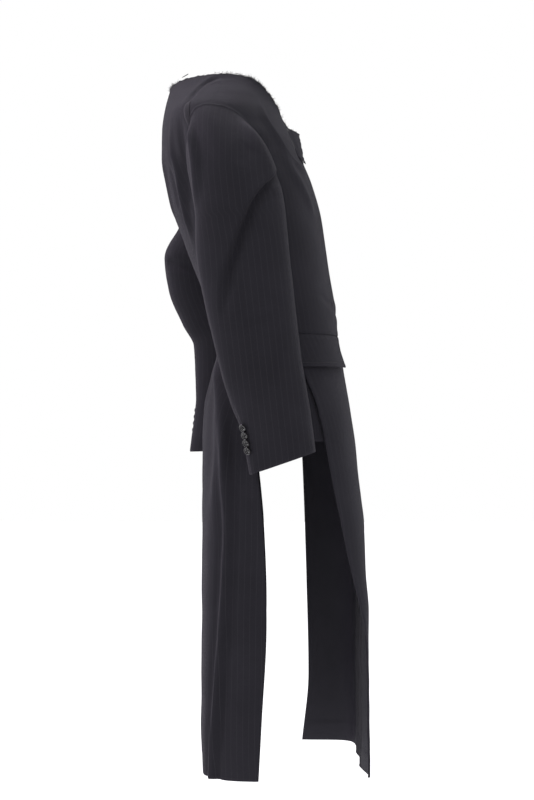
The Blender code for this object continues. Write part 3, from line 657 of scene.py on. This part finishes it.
def mix_colour(tree, share, first, second, blend="MIX"):
    """Mix of two colours, each a socket or three numbers."""
    node = tree.nodes.new("ShaderNodeMix")
    node.data_type = "RGBA"
    node.blend_type = blend
    for k, value in ((0, share), (6, first), (7, second)):
        give(tree, node.inputs[k], value)
    return node.outputs[2]


def object_place(tree):
    """Object coordinates."""
    return add_node(tree, "TexCoord").outputs["Object"]


def cloth_material(name, dark, light, stripe, roughness, sheen, sheen_roughness, tint, bump, pitch=0.0007):
    """Woven cloth: two close shades mixed by yarn and cloud noise, a stripe, hemmed and raw edges painted paler as a
    highlight, twill bump.
    """
    made, tree, shader = new_material(name, Specular_IOR_Level=0.2, Sheen_Weight=sheen,
                                      Sheen_Roughness=sheen_roughness, Sheen_Tint=tint)
    do = partial(calc, tree)
    cloth = add_node(tree, "UVMap")
    cloth.uv_map = "cloth"
    flat = cloth.outputs["UV"]
    shade = place_group(tree, melange, Cloth=flat, Place=object_place(tree))
    level = do("ADD", do("MULTIPLY", shade["Fine"], 0.55), do("MULTIPLY", shade["Cloud"], 0.45))
    level = do("MULTIPLY", do("SUBTRACT", level, 0.28), 2.2)
    colour = mix_colour(tree, do("MINIMUM", do("MAXIMUM", level, 0.0), 1.0), dark, light)
    if stripe:
        lines = place_group(tree, pinstripe, Cloth=flat, Spacing=0.0103, Width=0.0005)
        colour = mix_colour(tree, lines["Mask"], colour, stripe)
    # Painted highlight: the cloth is made paler near hemmed and raw edges, where the edges catch the light.
    highlight_mask = add_node(tree, "Attribute")
    highlight_mask.attribute_name = "edge_highlight"
    highlight_colour = mix_colour(tree, 1.0, colour, (1.5, 1.5, 1.5), "MULTIPLY")
    colour = mix_colour(tree, do("MULTIPLY", highlight_mask.outputs["Fac"], shade["Fine"]), colour, highlight_colour)
    weave = place_group(tree, twill, Cloth=flat, Pitch=pitch)
    relief = add_node(tree, "Bump", Strength=bump, Distance=0.0003, Height=weave["Height"])
    feed(tree, shader, Base_Color=colour, Normal=relief.outputs["Normal"],
         Roughness=do("ADD", do("MULTIPLY", shade["Fine"], 0.16), roughness - 0.08))
    return made


wool = cloth_material("pinstripe wool", (0.0114, 0.0105, 0.0144), (0.0226, 0.0208, 0.0276), (0.034, 0.032, 0.038),
                      0.85, 0.085, 0.45, (0.8, 0.76, 0.86), 0.5)
lining = cloth_material("coat lining", (0.028, 0.0262, 0.035), (0.042, 0.0395, 0.05), None,
                        0.55, 0.05, 0.35, (0.8, 0.8, 0.85), 0.25, 0.0005)
COAT_CLOTH = (wool, lining, wool, wool)


def long_rows(neck, chest, below, neck_end, turns, drops, waver):
    """Rows of a panel that starts at the shoulder point: round the neck to an angle, down the chest and on
    between two drops. Angles at the neck, drops of the inner edge, angles at the armhole and drops of the outer
    edge; the neck edge wavers by a height over a length, with a seed."""
    height, length, seed = waver
    neck_angle = SHOULDER_TURN + (neck_end - SHOULDER_TURN) * neck
    neck_drop = (smooth(NECK, 1, np.abs(neck_angle))
                 + height * ramp(neck, 0.0, 0.08) * swell(neck, 0, 0, length, seed))
    chest_drop = neck_drop[-1] + (drops[0] - neck_drop[-1]) * chest
    seam_drop = drops[0] + (drops[1] - drops[0]) * below
    hole_angle, hole_drop = armhole(np.r_[SHOULDER_TURN + (turns[0] - SHOULDER_TURN) * neck,
                                          turns[0] + (turns[1] - turns[0]) * chest])
    return neck_angle, np.r_[neck_drop, chest_drop, seam_drop], hole_angle, np.r_[hole_drop, seam_drop]


for side, hand in SIDES:
    neck_angle, inner_drop, hole_angle, outer_drop = long_rows(
        spaced(0.14, 0.003, True, False), np.linspace(0, 1, 46)[1:], spaced(0.225, 0.0032, False, True)[1:],
        -lap_angle(NECK[:1, 1])[0], (0.0, FRONT_TURN), (FRONT_SEAM[0, 0], WAIST_DROP), (0.001, 0.07, 91 + side))
    inner_angle = np.r_[neck_angle, -lap_angle(inner_drop[len(neck_angle):])]
    outer_angle = np.r_[hole_angle, edge(FRONT_SEAM, outer_drop[len(hole_angle):])]
    angle, drop = panel_grid((inner_angle, inner_drop), (outer_angle, outer_drop), 58)
    points = body_point(side, angle, drop, lap_lift(side, angle, drop))
    below_arm = ramp(outer_drop, 0.225, 0.245)[:, None]
    add_cloth(f"front_panel_{hand}", f"front_{hand}", points, side, stripe_map(angle, drop),
              ("raw", ("armhole", "seam", below_arm), "pressed", "seam"), COAT_CLOTH, 11 + (side > 0),
              facing=FRONT_FACING)


# ---------- Front skirts ----------
# A long panel of the same worsted hangs from the waist seam to the long hem on each side, its back edge open
# from the waist on the right in a curve, and its hem turned up by hand.

SKIRT_FACING = 0.085
# How far the skirt's back edge stands out of the slit, and the side body's front lies back in it
SLIT_FLARE = 0.003

FRONT_SLIT = {
    "right": np.array((
        (457, -108), (522.5, -125), (570, -144.5), (617.5, -156.4), (690, -170), (740, -180), (826, -198),
        (913, -216.5), (960, -225), (1060, -229), (1217.4, -230),
    )) / 1000,
    "left": np.array((
        (457, -108), (550, -120), (640, -128), (900, -138), (1090, -142), (1217.4, -130),
    )) / 1000,
}
for side, hand in SIDES:
    drop = WAIST_DROP + (LONG_HEM_DROP - WAIST_DROP) * spaced(0.76, 0.004)
    angle, drop = panel_grid((-lap_angle(drop), drop), (edge(FRONT_SLIT[hand], drop), drop), 44)
    from_edge = np.radians(angle[:, -1:] - angle) * BODY_RADIUS
    flare = SLIT_FLARE * ramp(drop, WAIST_DROP, WAIST_DROP + 0.06) * np.exp(-from_edge / 0.018)
    points = body_point(side, angle, drop, lap_lift(side, angle, drop) + flare)
    add_cloth(f"skirt_panel_{hand}", f"skirt_front_{hand}", points, side, stripe_map(angle, drop),
              ("turned", "turned", "seam", "hem"), COAT_CLOTH, 21 + (side > 0), facing=SKIRT_FACING)


# ---------- Side bodies ----------
# A narrow panel under each arm, from the armhole to its own hem at the hip, joins the front to the back; below
# the hip the coat is open and only the front and back run on.

BACK_SEAM = np.array((
    (233, 35), (300, 10), (380, -18), (457, -32), (520, -36), (640, -40),
)) / 1000
for side, hand in SIDES:
    down = spaced(0.405, 0.0036)
    front_drop, back_drop = (top + (SIDE_HEM_DROP - top) * down for top in (FRONT_SEAM[0, 0], BACK_SEAM[0, 0]))
    front_angle = np.where(front_drop < WAIST_DROP, edge(FRONT_SEAM, front_drop), edge(FRONT_SLIT[hand], front_drop))
    back_angle = edge(BACK_SEAM, back_drop)
    share = graded(np.maximum(girth(back_angle, back_drop) - girth(front_angle, front_drop), 0.02), 34)
    angle = mix(front_angle[:, None], back_angle[:, None], share)
    drop = mix(front_drop[:, None], back_drop[:, None], share)
    hole_angle, hole_drop = armhole(mix(FRONT_TURN + 360, BACK_TURN, share))
    fade = (1 - down[:, None]) ** 4
    drop = drop + fade * (hole_drop - drop[0])
    angle = angle + fade * (hole_angle - angle[0])
    from_seam = np.radians(angle - angle[:, :1]) * BODY_RADIUS
    tucked = ramp(drop, WAIST_DROP, WAIST_DROP + 0.05) * np.exp(-from_seam / 0.03)
    points = body_point(side, angle, drop, -SLIT_FLARE * tucked)
    flat_map = stripe_map(angle, drop)
    flat_map[..., 0] -= flat_map[:, :1, 0] * 0.5 + flat_map[:, -1:, 0] * 0.5
    add_cloth(f"side_panel_{hand}", f"side_{hand}", points, side, flat_map, ("seam", "seam", "armhole", "hem"),
              COAT_CLOTH, 31 + (side > 0))


# ---------- Backs ----------
# Right and left are each cut in one length from the neck to the long hem and joined at the centre back; nipped
# at the waist by the seams, they open again over the hip into soft folds.

BACK_SLIT = np.array((
    (640, -40), (740, -52), (800, -57), (950, -62.5), (1120, -54), (1217.4, -48.7),
)) / 1000
for side, hand in SIDES:
    neck_angle, inner_drop, hole_angle, outer_drop = long_rows(
        spaced(0.15, 0.0034, True, False), np.linspace(0, 1, 42)[1:], spaced(0.985, 0.0045, False, True)[1:],
        180.0, (BACK_REST_TURN, BACK_TURN), (BACK_SEAM[0, 0], LONG_HEM_DROP), (0.0008, 0.06, 94 + side))
    inner_angle = np.r_[neck_angle, np.full(len(inner_drop) - len(neck_angle), 180.0)]
    seam_drop = outer_drop[len(hole_angle):]
    seam_angle = np.where(seam_drop < SIDE_HEM_DROP, edge(BACK_SEAM, seam_drop), edge(BACK_SLIT, seam_drop))
    angle, drop = panel_grid((np.r_[hole_angle, seam_angle], outer_drop), (inner_angle, inner_drop), 56)
    points = body_point(side, angle, drop)
    below_arm = ramp(outer_drop, 0.22, 0.24)[:, None]
    below_neck = ramp(inner_drop, 0.01, 0.02)[:, None]
    add_cloth(f"back_panel_{hand}", f"back_{hand}", points, side, stripe_map(angle, drop, True),
              (("armhole", "seam", below_arm), ("raw", "seam", below_neck), "pressed", "hem"),
              COAT_CLOTH, 41 + (side > 0))


# ---------- Sleeves ----------
# Each has a top and an under piece, eased into the armhole at the head and bent at the elbow; a deep slanting
# crease runs across the upper arm where the cloth gives, and the cuff is turned up.

ARM_RADIUS = 0.06
CAP_SHARE = 0.3
FRONT_SEAM_TURN = -22.5
HIND_SEAM_TURN = 202.5
VENT_STEP = 0.0024
# Middle stripe of the right top sleeve: depth, lean forward, and the drop from which it leans
STRIPE_DEPTH = -0.0195
STRIPE_LEAN = 0.11
STRIPE_BEND = 0.18

# Drop, distance out from the middle, depth, half depth, half width, tilt of the ring in degrees
SLEEVE = {
    "right": np.array((
        (270, 222, -19.5, 75.5, 46, 2),
        (320, 224, -22.5, 77, 46, 4),
        (402, 228, -34, 74.5, 44, 8),
        (470, 232, -46, 70.5, 42, 11),
        (520, 234, -55, 67.5, 40, 12),
        (565, 236, -66, 64.5, 37, 14),
        (608, 238, -77.5, 60.5, 34, 16),
        (675, 240, -88, 58.5, 31, 19),
    )) / (1000, 1000, 1000, 1000, 1000, 1),
    "left": np.array((
        (255, 224, 35, 74, 47, -12),
        (300, 232, 58, 77, 48, -4),
        (345, 238, 54, 74.5, 46, 10),
        (405, 242, 32, 71, 44, 14),
        (457, 243, 11, 68, 42, 8),
        (506, 243, 9, 67.5, 40, 0),
        (556, 242, 11, 65, 37, -4),
        (609, 241, 20, 61, 34, -3),
        (668, 240, 29, 59.5, 31, 2),
    )) / (1000, 1000, 1000, 1000, 1000, 1),
}
SLEEVE_FOLDS = {
    "right": np.array((
        (40, 400, 100, 640, 18, 4),
    )) / FOLD_UNITS,
    "left": np.array((
        (20, 250, 150, 330, 14, -6), (10, 340, 120, 380, 13, -6), (60, 420, 120, 640, 18, 4),
    )) / FOLD_UNITS,
}
SLEEVE_CREASES = {
    "right": (
        (((-12, 190), (2, 193), (18, 202), (39.5, 215), (66.5, 241), (88, 287), (100.5, 325), (113.5, 360),
          (123, 400), (131, 450)), 7.4, -14.8, -0.4, 0, 0.26, 0.24),
        (((40, 150), (55, 162), (74, 186)), 12, -2.2, 0, 0),
        (((60, 420), (84, 434), (108, 440)), 8, -1.8, 0, 0.3),
        (((150, 110), (146, 150), (152, 200), (164, 260)), 8, 3, 0, 0.3),
        (((200, 330), (230, 345), (262, 350)), 9, -3.6, 0, 0.3),
        (((206, 384), (236, 392), (270, 388)), 9, -3.2, 0, 0.3),
    ),
    "left": (
        (((-18, 196), (20, 214), (50, 238), (78, 270), (96, 300)), 10, -8, 0.1, 0.3),
        (((0, 286), (40, 310), (90, 322), (130, 318)), 9, -3.6, 0, 0.3),
        (((-10, 364), (30, 372), (70, 368)), 8.5, -3.4, 0, 0.3),
        (((60, 410), (90, 424), (116, 426)), 8.5, -2, 0, 0.3),
        (((148, 110), (146, 150), (151, 200)), 8, 2.8, 0, 0.3),
        (((206, 300), (236, 312), (268, 316)), 9, -3.6, 0, 0.3),
    ),
}


def sleeve_ring(side, turn, drop):
    """Point of the sleeve's tube at a turn: a rounded oval ring, tilted, whose middle is at a drop."""
    table = SLEEVE["right" if side < 0 else "left"]
    out, depth, half_depth, half_width, tilt = (smooth(table, k, drop) for k in range(1, 6))
    angle = np.radians(turn)
    forward = np.cos(angle)
    outward = np.sin(angle)
    power = 2.5 - 0.3 * ramp(drop, 0.5, 0.62)
    radius = (np.abs(forward) ** power + np.abs(outward) ** power) ** (-1 / power)
    slope = np.radians(tilt)
    ahead = radius * forward * half_depth
    return np.stack(np.broadcast_arrays(side * (out + radius * outward * half_width),
                                        depth - ahead * np.cos(slope), -drop + ahead * np.sin(slope)), -1)


def sleeve_point(side, turn, share, lift=0.0):
    """Point on a sleeve's outside: over the head a cubic curve from the armhole to the first ring, then the
    tube, moved out by the folds, the creases and a slight unevenness."""
    hand = "right" if side < 0 else "left"
    turn, share = np.broadcast_arrays(np.asarray(turn, float), np.asarray(share, float))
    table = SLEEVE[hand]
    angle = np.radians(turn)
    top = np.clip(np.sin(angle), 0, 1)
    flare = 0.45 * (1 - top)
    hole_angle, hole_drop = armhole(np.where(turn > FRONT_TURN + 360, turn - 360.0, turn))
    start = body_point(side, hole_angle, hole_drop)
    beyond = body_point(side, 90.0 + 1.06 * (hole_angle - 90.0), 0.16 + 1.06 * (hole_drop - 0.16))
    leave = unit(np.stack((np.full(turn.shape, float(side)), -np.cos(angle) * flare,
                           np.sin(angle) * flare - 0.45 * top), -1))
    leave = unit(leave + unit(start - beyond) * (1.6 * ramp(top, 0.45, 0.95))[..., None])
    first = table[0, 0]
    end = sleeve_ring(side, turn, first)
    arrive = unit(sleeve_ring(side, turn, first + 0.001) - end)
    span = 1.1 * np.linalg.norm(end - start, axis=-1, keepdims=True)
    t = np.clip(share / CAP_SHARE, 0, 1)[..., None]
    head = cubic(start, leave * span, end, arrive * span, t)
    drop = first + (table[-1, 0] - first) * np.clip((share - CAP_SHARE) / (1 - CAP_SHARE), 0, 1)
    point = np.where(share[..., None] < CAP_SHARE, head, sleeve_ring(side, turn, drop))
    out = np.stack((side * np.sin(angle), -np.cos(angle), np.zeros(turn.shape)), -1)
    height = (fold_height(SLEEVE_FOLDS[hand], turn, -point[..., 2], ARM_RADIUS)
              + crease_height(SLEEVE_CREASES[hand], turn, -point[..., 2], ARM_RADIUS)
              + 0.0008 * swell(np.cos(angle) * 0.06, np.sin(angle) * 0.06, point[..., 2], 0.09, 6 + side) + lift
              - VENT_STEP * ramp(turn, 151.0, 154.0) * (1 - ramp(turn, 172.0, 205.0)) * ramp(share, 0.8, 0.86))
    return point + out * (height * ramp(share, 0.0, 0.08))[..., None]


for side, hand in SIDES:
    share = np.r_[CAP_SHARE * spaced(0.19, 0.0028, True, False),
                  CAP_SHARE + (1 - CAP_SHARE) * spaced(0.41, 0.0031, False, True)[1:]]
    front_seam = FRONT_SEAM_TURN + 2.5 * share
    hind_seam = HIND_SEAM_TURN - 30.5 * share
    for part, first, last, count in (("top", front_seam, hind_seam, 78), ("under", hind_seam, front_seam + 360, 34)):
        across = graded(np.radians(last - first) * ARM_RADIUS, count)
        points = sleeve_point(side, mix(first[:, None], last[:, None], across), share[:, None])
        distances = edge_distances(points)
        middle = distances[0] - 0.5 * distances[0][:, -1:]
        if part == "top" and side < 0:
            ahead = points[..., 1] - STRIPE_DEPTH + STRIPE_LEAN * np.maximum(-points[..., 2] - STRIPE_BEND, 0)
            cell = np.clip((ahead < 0).sum(axis=1, keepdims=True) - 1, 0, ahead.shape[1] - 2)
            low, high = (np.take_along_axis(ahead, cell + k, 1) for k in (0, 1))
            arc, arc_on = (np.take_along_axis(distances[0], cell + k, 1) for k in (0, 1))
            middle = distances[0] - arc + (arc_on - arc) * low / (high - low)
        add_cloth(f"{part}_sleeve_{hand}", f"sleeve_{part}_{hand}", points, side,
                  np.stack((middle, distances[2]), -1), ("seam", "seam", "armhole", "hem"), COAT_CLOTH,
                  51 + 2 * side + (part == "top"))


# ---------- Armhole allowances ----------
# Behind each shoulder a short length of the armhole's raw seam allowance has worked out and stands up beside
# the seam, its loosened inner side outward.

loose_wool = cloth_material("loosened wool", (0.015, 0.0138, 0.0178), (0.029, 0.0268, 0.033), None,
                            0.88, 0.12, 0.5, (0.86, 0.82, 0.9), 0.6, 0.001)
for side, hand in SIDES:
    along = spaced(0.048, 0.0016)[:, None]
    across = np.linspace(0, 1, 15)
    rise = np.sin(math.pi * np.clip(along, 0.001, 0.999)) ** 0.6
    angle = 101.0 - 2.0 * along ** 1.5 + 3.6 * across * (0.62 + 0.38 * rise)
    angle, drop = np.broadcast_arrays(angle, 0.064 + 0.047 * along)
    points = body_point(side, angle, drop, 0.001 + 0.0016 * rise * np.sin(math.pi * across ** 1.4))
    add_cloth(f"armhole_allowance_{hand}", None, points, side, stripe_map(angle, drop),
              (None, "raw", None, None), (loose_wool,), 97, 0.0007)


# ---------- Pocket flaps ----------
# A faced flap of the same cloth is caught in the waist seam on each side and hangs over the skirt, with a row of
# stitching beside its edge.

FLAP_CLOTH = 0.0024
FLAP_DEPTH = 0.056
FLAP_START = 26.0
FLAP_ANGLE = 48.0
FLAP_WIDTH = 0.155
STITCH_INSET = 0.0066
STITCH_RADIUS = 0.00022


def tube_mesh(name, rings, finish):
    """Closed tubes as one mesh, from their rings of points: tubes x steps x sides x 3."""
    index = np.arange(rings[..., 0].size).reshape(rings.shape[:3])
    onward = np.roll(index, -1, axis=2)
    quads = np.stack((index[:, :-1], index[:, 1:], onward[:, 1:], onward[:, :-1]), -1).reshape(-1, 4)
    faces = quads.tolist() + index[:, 0].tolist() + index[:, -1, ::-1].tolist()
    piece = add_mesh(name, rings.reshape(-1, 3), faces, finish)
    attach(piece, "root")
    return piece


def thread_mesh(name, paths, up, radius, finish, sides=5):
    """Many short threads as one mesh: round rings along each path, paths x steps x 3, closed at both ends. The
    radius is one for all, or one for each step."""
    across = unit(np.cross(unit(np.gradient(paths, axis=1)), up))
    lift = np.cross(across, unit(np.gradient(paths, axis=1)))
    turn = 2 * math.pi * np.arange(sides) / sides
    radius = np.broadcast_to(radius, paths.shape[:2])[..., None, None]
    tube_mesh(name, paths[:, :, None] + radius * (np.cos(turn)[:, None] * across[:, :, None]
                                                  + np.sin(turn)[:, None] * lift[:, :, None]), finish)


def stitch_paths(line, normal, pitch, length, height):
    """Short raised stitches along a line: each starts and ends in the cloth and bows out between."""
    arc = run_length(line, 0)
    steps = np.linspace(0, 1, 5)
    at = np.arange(0.5 * pitch, arc[-1] - pitch, pitch)[:, None] + length * steps
    place, facing = (np.stack([np.interp(at, arc, track[:, k]) for k in range(3)], -1) for track in (line, normal))
    return place + unit(facing) * (height * (np.sin(math.pi * steps) * 1.3 - 0.3))[:, None]


def thread_material(name, dark, light):
    """Sewing thread: two close shades mixed by fine noise, dull."""
    made, tree, shader = new_material(name, Roughness=0.75, Sheen_Weight=0.2)
    feed(tree, shader, Base_Color=mix_colour(tree, noise(tree, object_place(tree), 900.0, 3.0), dark, light))
    return made


dark_thread = thread_material("dark sewing thread", (0.012, 0.011, 0.014), (0.024, 0.022, 0.026))
pale_thread = thread_material("pale basting thread", (0.1, 0.1, 0.11), (0.22, 0.21, 0.22))

for side, hand in SIDES:
    angle, down = np.broadcast_arrays(FLAP_START + FLAP_ANGLE * spaced(FLAP_WIDTH, 0.0024),
                                      spaced(FLAP_DEPTH, 0.0016)[:, None])
    drop = WAIST_DROP + 0.0004 + (FLAP_DEPTH + 0.0008) * down
    lift = (0.001 + (FLAP_CLOTH - 0.0004) * ramp(down, 0, 0.2) + 0.0064 * down ** 2 + lap_lift(side, angle, drop)
            + 0.0006 * swell(np.radians(angle) * BODY_RADIUS, drop, 0, 0.12, 71 + side))
    points = body_point(side, angle, drop, lift)
    add_cloth(f"flap_{hand}", f"pocket_flap_{hand}", points, side, stripe_map(angle, drop),
              ("turned", "turned", "seam", "turned"), COAT_CLOTH, 71, FLAP_CLOTH, FLAP_CLOTH + 0.0006)
    gap = edge_distances(points)
    row, first, last = (int(np.argmin(np.abs(run - STITCH_INSET)))
                        for run in (gap[3][:, 20], gap[0][10], gap[1][10]))
    line, facing = (np.r_[grid[4:row, first], grid[row, first:last], grid[row:4:-1, last]]
                    for grid in (points, grid_normals(points, side)))
    thread_mesh(f"flap_stitching_{hand}", stitch_paths(line, facing, 0.003, 0.0023, 0.0003), (0.0, 0.3, 1.0),
                STITCH_RADIUS, dark_thread)


# ---------- Lapel stubs ----------
# The lapels are cut off short: three raw-edged layers, cloth, canvas and facing, stand out a little at the front
# of the neck, sewn down at their outer edge.

STUB_FREE_ANGLE = 9.0
STUB_SEWN_ANGLE = 27.0
STUB_TOP_DROP = 0.102
STUB_LENGTH = 0.05
FRAY_UP = (0.3, 0.5, 0.8)


def fray_mesh(name, foot, lean, bend, radius, finish):
    """Tapering threads: each leaves its foot along the lean and curls away by the bend."""
    s = np.linspace(0, 1, 5)[:, None]
    paths = foot[:, None] + lean[:, None] * s + bend[:, None] * s ** 2
    thread_mesh(name, paths, FRAY_UP, radius * (1 - 0.6 * s[:, 0]), finish, 4)


canvas = cloth_material("canvas", (0.03, 0.029, 0.032), (0.06, 0.058, 0.062), None,
                        0.85, 0.2, 0.5, (0.9, 0.9, 0.9), 0.6, 0.001)
# Layers from the outside: inset, share of the length, how much lower, finish, thickness
STUB_LAYERS = ((0.0, 1.0, 0.0, wool, 0.0009), (-0.003, 0.93, 0.0018, canvas, 0.0006),
               (-0.005, 1.04, -0.001, wool, 0.0009))
loose = np.random.default_rng(14)
for side, hand in SIDES:
    for number, (inset, shorter, lower, finish, thickness) in enumerate(STUB_LAYERS):
        across = spaced(STUB_LENGTH, 0.0012)
        down = across[:, None]
        free = STUB_FREE_ANGLE + 1.2 * (1 - shorter) / 0.07
        angle = free + (STUB_SEWN_ANGLE - free) * across * (1 - 0.35 * down)
        drop = STUB_TOP_DROP + lower - 0.012 * across + STUB_LENGTH * shorter * down
        curl = 0.0095 * (1 - across) * (1 - down) ** 1.3
        ragged = 0.0007 * swell(down, 0, 0, 0.12, 81 + number) * (1 - across) ** 4
        lift = (0.001 + 0.0028 * (1 - ramp(across, 0.55, 1.0)) + curl + ragged + 0.6 * inset * (1 - across)
                + 0.12 * inset + lap_lift(side, angle, drop))
        points = body_point(side, angle, drop, lift)
        add_cloth(f"lapel_layer_{hand}_{number + 1}", f"lapel_stub_{hand}", points, side, stripe_map(angle, drop),
                  ("raw", "turned", "raw", "raw"), (finish,), 81 + number, thickness, thickness * 1.2)
    free_edge, within = (np.r_[points[::-1, k], points[k, 1:24]] for k in (0, 6))
    outward = unit(free_edge - within)
    for label, count, finish in (("dark", 70, dark_thread), ("pale", 80, pale_thread)):
        chosen = loose.integers(0, len(free_edge), count)
        lean = unit(outward[chosen] + loose.normal(0, 0.7, (count, 3))) * loose.uniform(0.0012, 0.0042, (count, 1))
        fray_mesh(f"lapel_fray_{label}_{hand}", free_edge[chosen] - outward[chosen] * 0.0012, lean,
                  loose.normal(0, 0.0007, (count, 3)), 0.00026, finish)


# ---------- Cuff buttons ----------
# Four turned black buttons on each sleeve, sewn through four holes above the cuff beside the closed vent, each
# tilted so that it lies over the next.

BUTTON_RADIUS = 0.0072
BUTTON_THICKNESS = 0.0026
BUTTON_TURN = 147.0
BUTTON_TILT = math.radians(15.0)
HOLE_OFF = 0.19
VENT_TURN = 153.6
VENT_LENGTH = 0.094
FIRST_BUTTON = 0.037
BUTTON_PITCH = 0.0122

# Turned profile from the middle of the face to the middle of the back: share of the radius, of the thickness
BUTTON_PROFILE = np.array((
    (0, 0.66), (0.2, 0.66), (0.45, 0.67), (0.6, 0.72), (0.7, 0.9), (0.78, 1), (0.87, 0.98), (0.95, 0.86),
    (1, 0.62), (0.99, 0.36), (0.93, 0.14), (0.82, 0.03), (0.6, 0), (0, 0),
))

horn, tree, shader = new_material("black horn", Specular_IOR_Level=0.75)
streaks = noise(tree, object_place(tree), 260.0, 5.0, 0.6)
feed(tree, shader, Base_Color=mix_colour(tree, streaks, (0.003, 0.003, 0.004), (0.007, 0.006, 0.006)),
     Roughness=calc(tree, "ADD", calc(tree, "MULTIPLY", streaks, 0.06), 0.05))
shadow = thread_material("vent shadow", (0.004, 0.004, 0.005), (0.007, 0.006, 0.008))

# Button: a dished disc with a raised round rim, turned on its profile, with four sunk holes
at = np.linspace(0, len(BUTTON_PROFILE) - 1, 66)
table = np.c_[np.arange(len(BUTTON_PROFILE)), BUTTON_PROFILE]
radius, height = (smooth(table, k, at)[1:-1, None] for k in (1, 2))
turn = np.radians(np.arange(0, 360, 7.5))
x = radius * np.cos(turn)
y = radius * np.sin(turn)
hole = sum(np.exp(-(((x - a) ** 2 + (y - b) ** 2) / 0.0095))
           for a in (-HOLE_OFF, HOLE_OFF) for b in (-HOLE_OFF, HOLE_OFF))
z = height - np.where(np.arange(len(radius))[:, None] < 30, 0.42 * np.minimum(hole, 1.0), 0)
disc = np.stack((x * BUTTON_RADIUS, y * BUTTON_RADIUS, z * BUTTON_THICKNESS), -1)

for side, hand in SIDES:
    length = (SLEEVE[hand][-1, 0] - SLEEVE[hand][0, 0]) / (1 - CAP_SHARE)
    # A thin dark thread along the vent's edge is painted shadow: it stands for the shade in the vent's gap.
    vent_shadow_line = sleeve_point(side, VENT_TURN, np.linspace(1 - VENT_LENGTH / length, 0.9995, 40))
    thread_mesh(f"cuff_vent_shadow_{hand}", vent_shadow_line[None], (side * 0.45, 0.9, 0.0), 0.0007, shadow, 6)
    for number in range(4):
        share = 1 - (FIRST_BUTTON + BUTTON_PITCH * number) / length
        spot = sleeve_point(side, BUTTON_TURN, share)
        around = sleeve_point(side, BUTTON_TURN + 2.0, share) - spot
        down = unit(sleeve_point(side, BUTTON_TURN, share + 0.01) - spot)
        normal = unit(np.cross(around, down))
        normal = normal if normal[0] * side > 0 else -normal
        z_axis = unit(normal * math.cos(BUTTON_TILT) + down * math.sin(BUTTON_TILT))
        x_axis = unit(np.cross((0.0, 1.0, 0.3), z_axis))
        axes = np.stack((x_axis, np.cross(z_axis, x_axis), z_axis))
        seat = spot + normal * (0.0005 + BUTTON_RADIUS * math.sin(BUTTON_TILT))
        button = tube_mesh(f"cuff_disc_{hand}_{number + 1}", (disc @ axes + seat)[None], horn)
        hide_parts(f"cuff_button_{hand}_{number + 1}")
        steps = np.linspace(-1, 1, 7)
        bars = np.stack(np.broadcast_arrays(np.array(((-HOLE_OFF,), (HOLE_OFF,))) * BUTTON_RADIUS,
                                            0.2 * steps * BUTTON_RADIUS,
                                            (0.7 + 0.28 * (1 - steps ** 2)) * BUTTON_THICKNESS), -1)
        thread_mesh(f"cuff_button_thread_{hand}_{number + 1}", seat + bars @ axes, z_axis, 0.00042, dark_thread, 6)


# ---------- Neck edge ----------
# The collar is off: the raw edge is held by a row of stay stitches and frays into short threads, most of them
# at the back and the front, with one loose loop at the back.

STAY_INSET = 0.005

frayed = np.random.default_rng(9)
for side, hand in SIDES:
    around_neck = np.linspace(4.0, 178.0, 400)
    edge_drop = smooth(NECK, 1, around_neck)
    edge_line, below = (body_point(side, around_neck, edge_drop + lower, lap_lift(side, around_neck, edge_drop))
                        for lower in (0.0, 0.004))
    forward = np.gradient(edge_line, axis=0)
    inward = unit(edge_line - below)
    normal = unit(np.cross(below - edge_line, forward)) * side
    stay_line = edge_line - inward * STAY_INSET + normal * 0.0001
    thread_mesh(f"neck_stay_stitches_{hand}", stitch_paths(stay_line, normal, 0.0034, 0.0024, 0.0004),
                (0.01, 0.01, 1.01), STITCH_RADIUS, dark_thread)
    for label, count, spread, finish in (("dark", 340, 30, dark_thread), ("pale", 130, 26, pale_thread)):
        chosen = np.clip(frayed.normal(frayed.choice((60, 118, 168, 385), count), spread).astype(int), 0, 399)
        length = frayed.uniform(0.0014, 0.0056, count)[:, None]
        root = frayed.uniform(-0.0008, 0.005, (count, 1))
        lean = unit(inward[chosen] + normal[chosen] * frayed.normal(0.3, 0.5, (count, 1))
                    + unit(forward[chosen]) * frayed.normal(0, 0.8, (count, 1)))
        droop = frayed.normal(0, 0.6, (count, 3)) + (0, 0, -0.3)
        foot = edge_line[chosen] - inward[chosen] * root + normal[chosen] * 0.0002 * (root > 0.0005)
        fray_mesh(f"neck_fray_{label}_{hand}", foot, lean * length, droop * length * 0.5, 0.0003, finish)

s = np.linspace(0, 1, 26)
loop = np.stack((-0.002 + 0.003 * np.sin(5 * s), 0.0062 * np.cos(math.pi * (0.2 + 1.6 * s)) + 0.001,
                 0.0035 + 0.0042 * np.sin(math.pi * (1.6 * s - 0.2)) + 0.0012 * s), -1)
foot = body_point(-1, 138.0, smooth(NECK, 1, 138.0))
thread_mesh("neck_thread_loop", (foot + loop)[None], (1.0, 0.1, 0.0), 0.0004, dark_thread, 6)
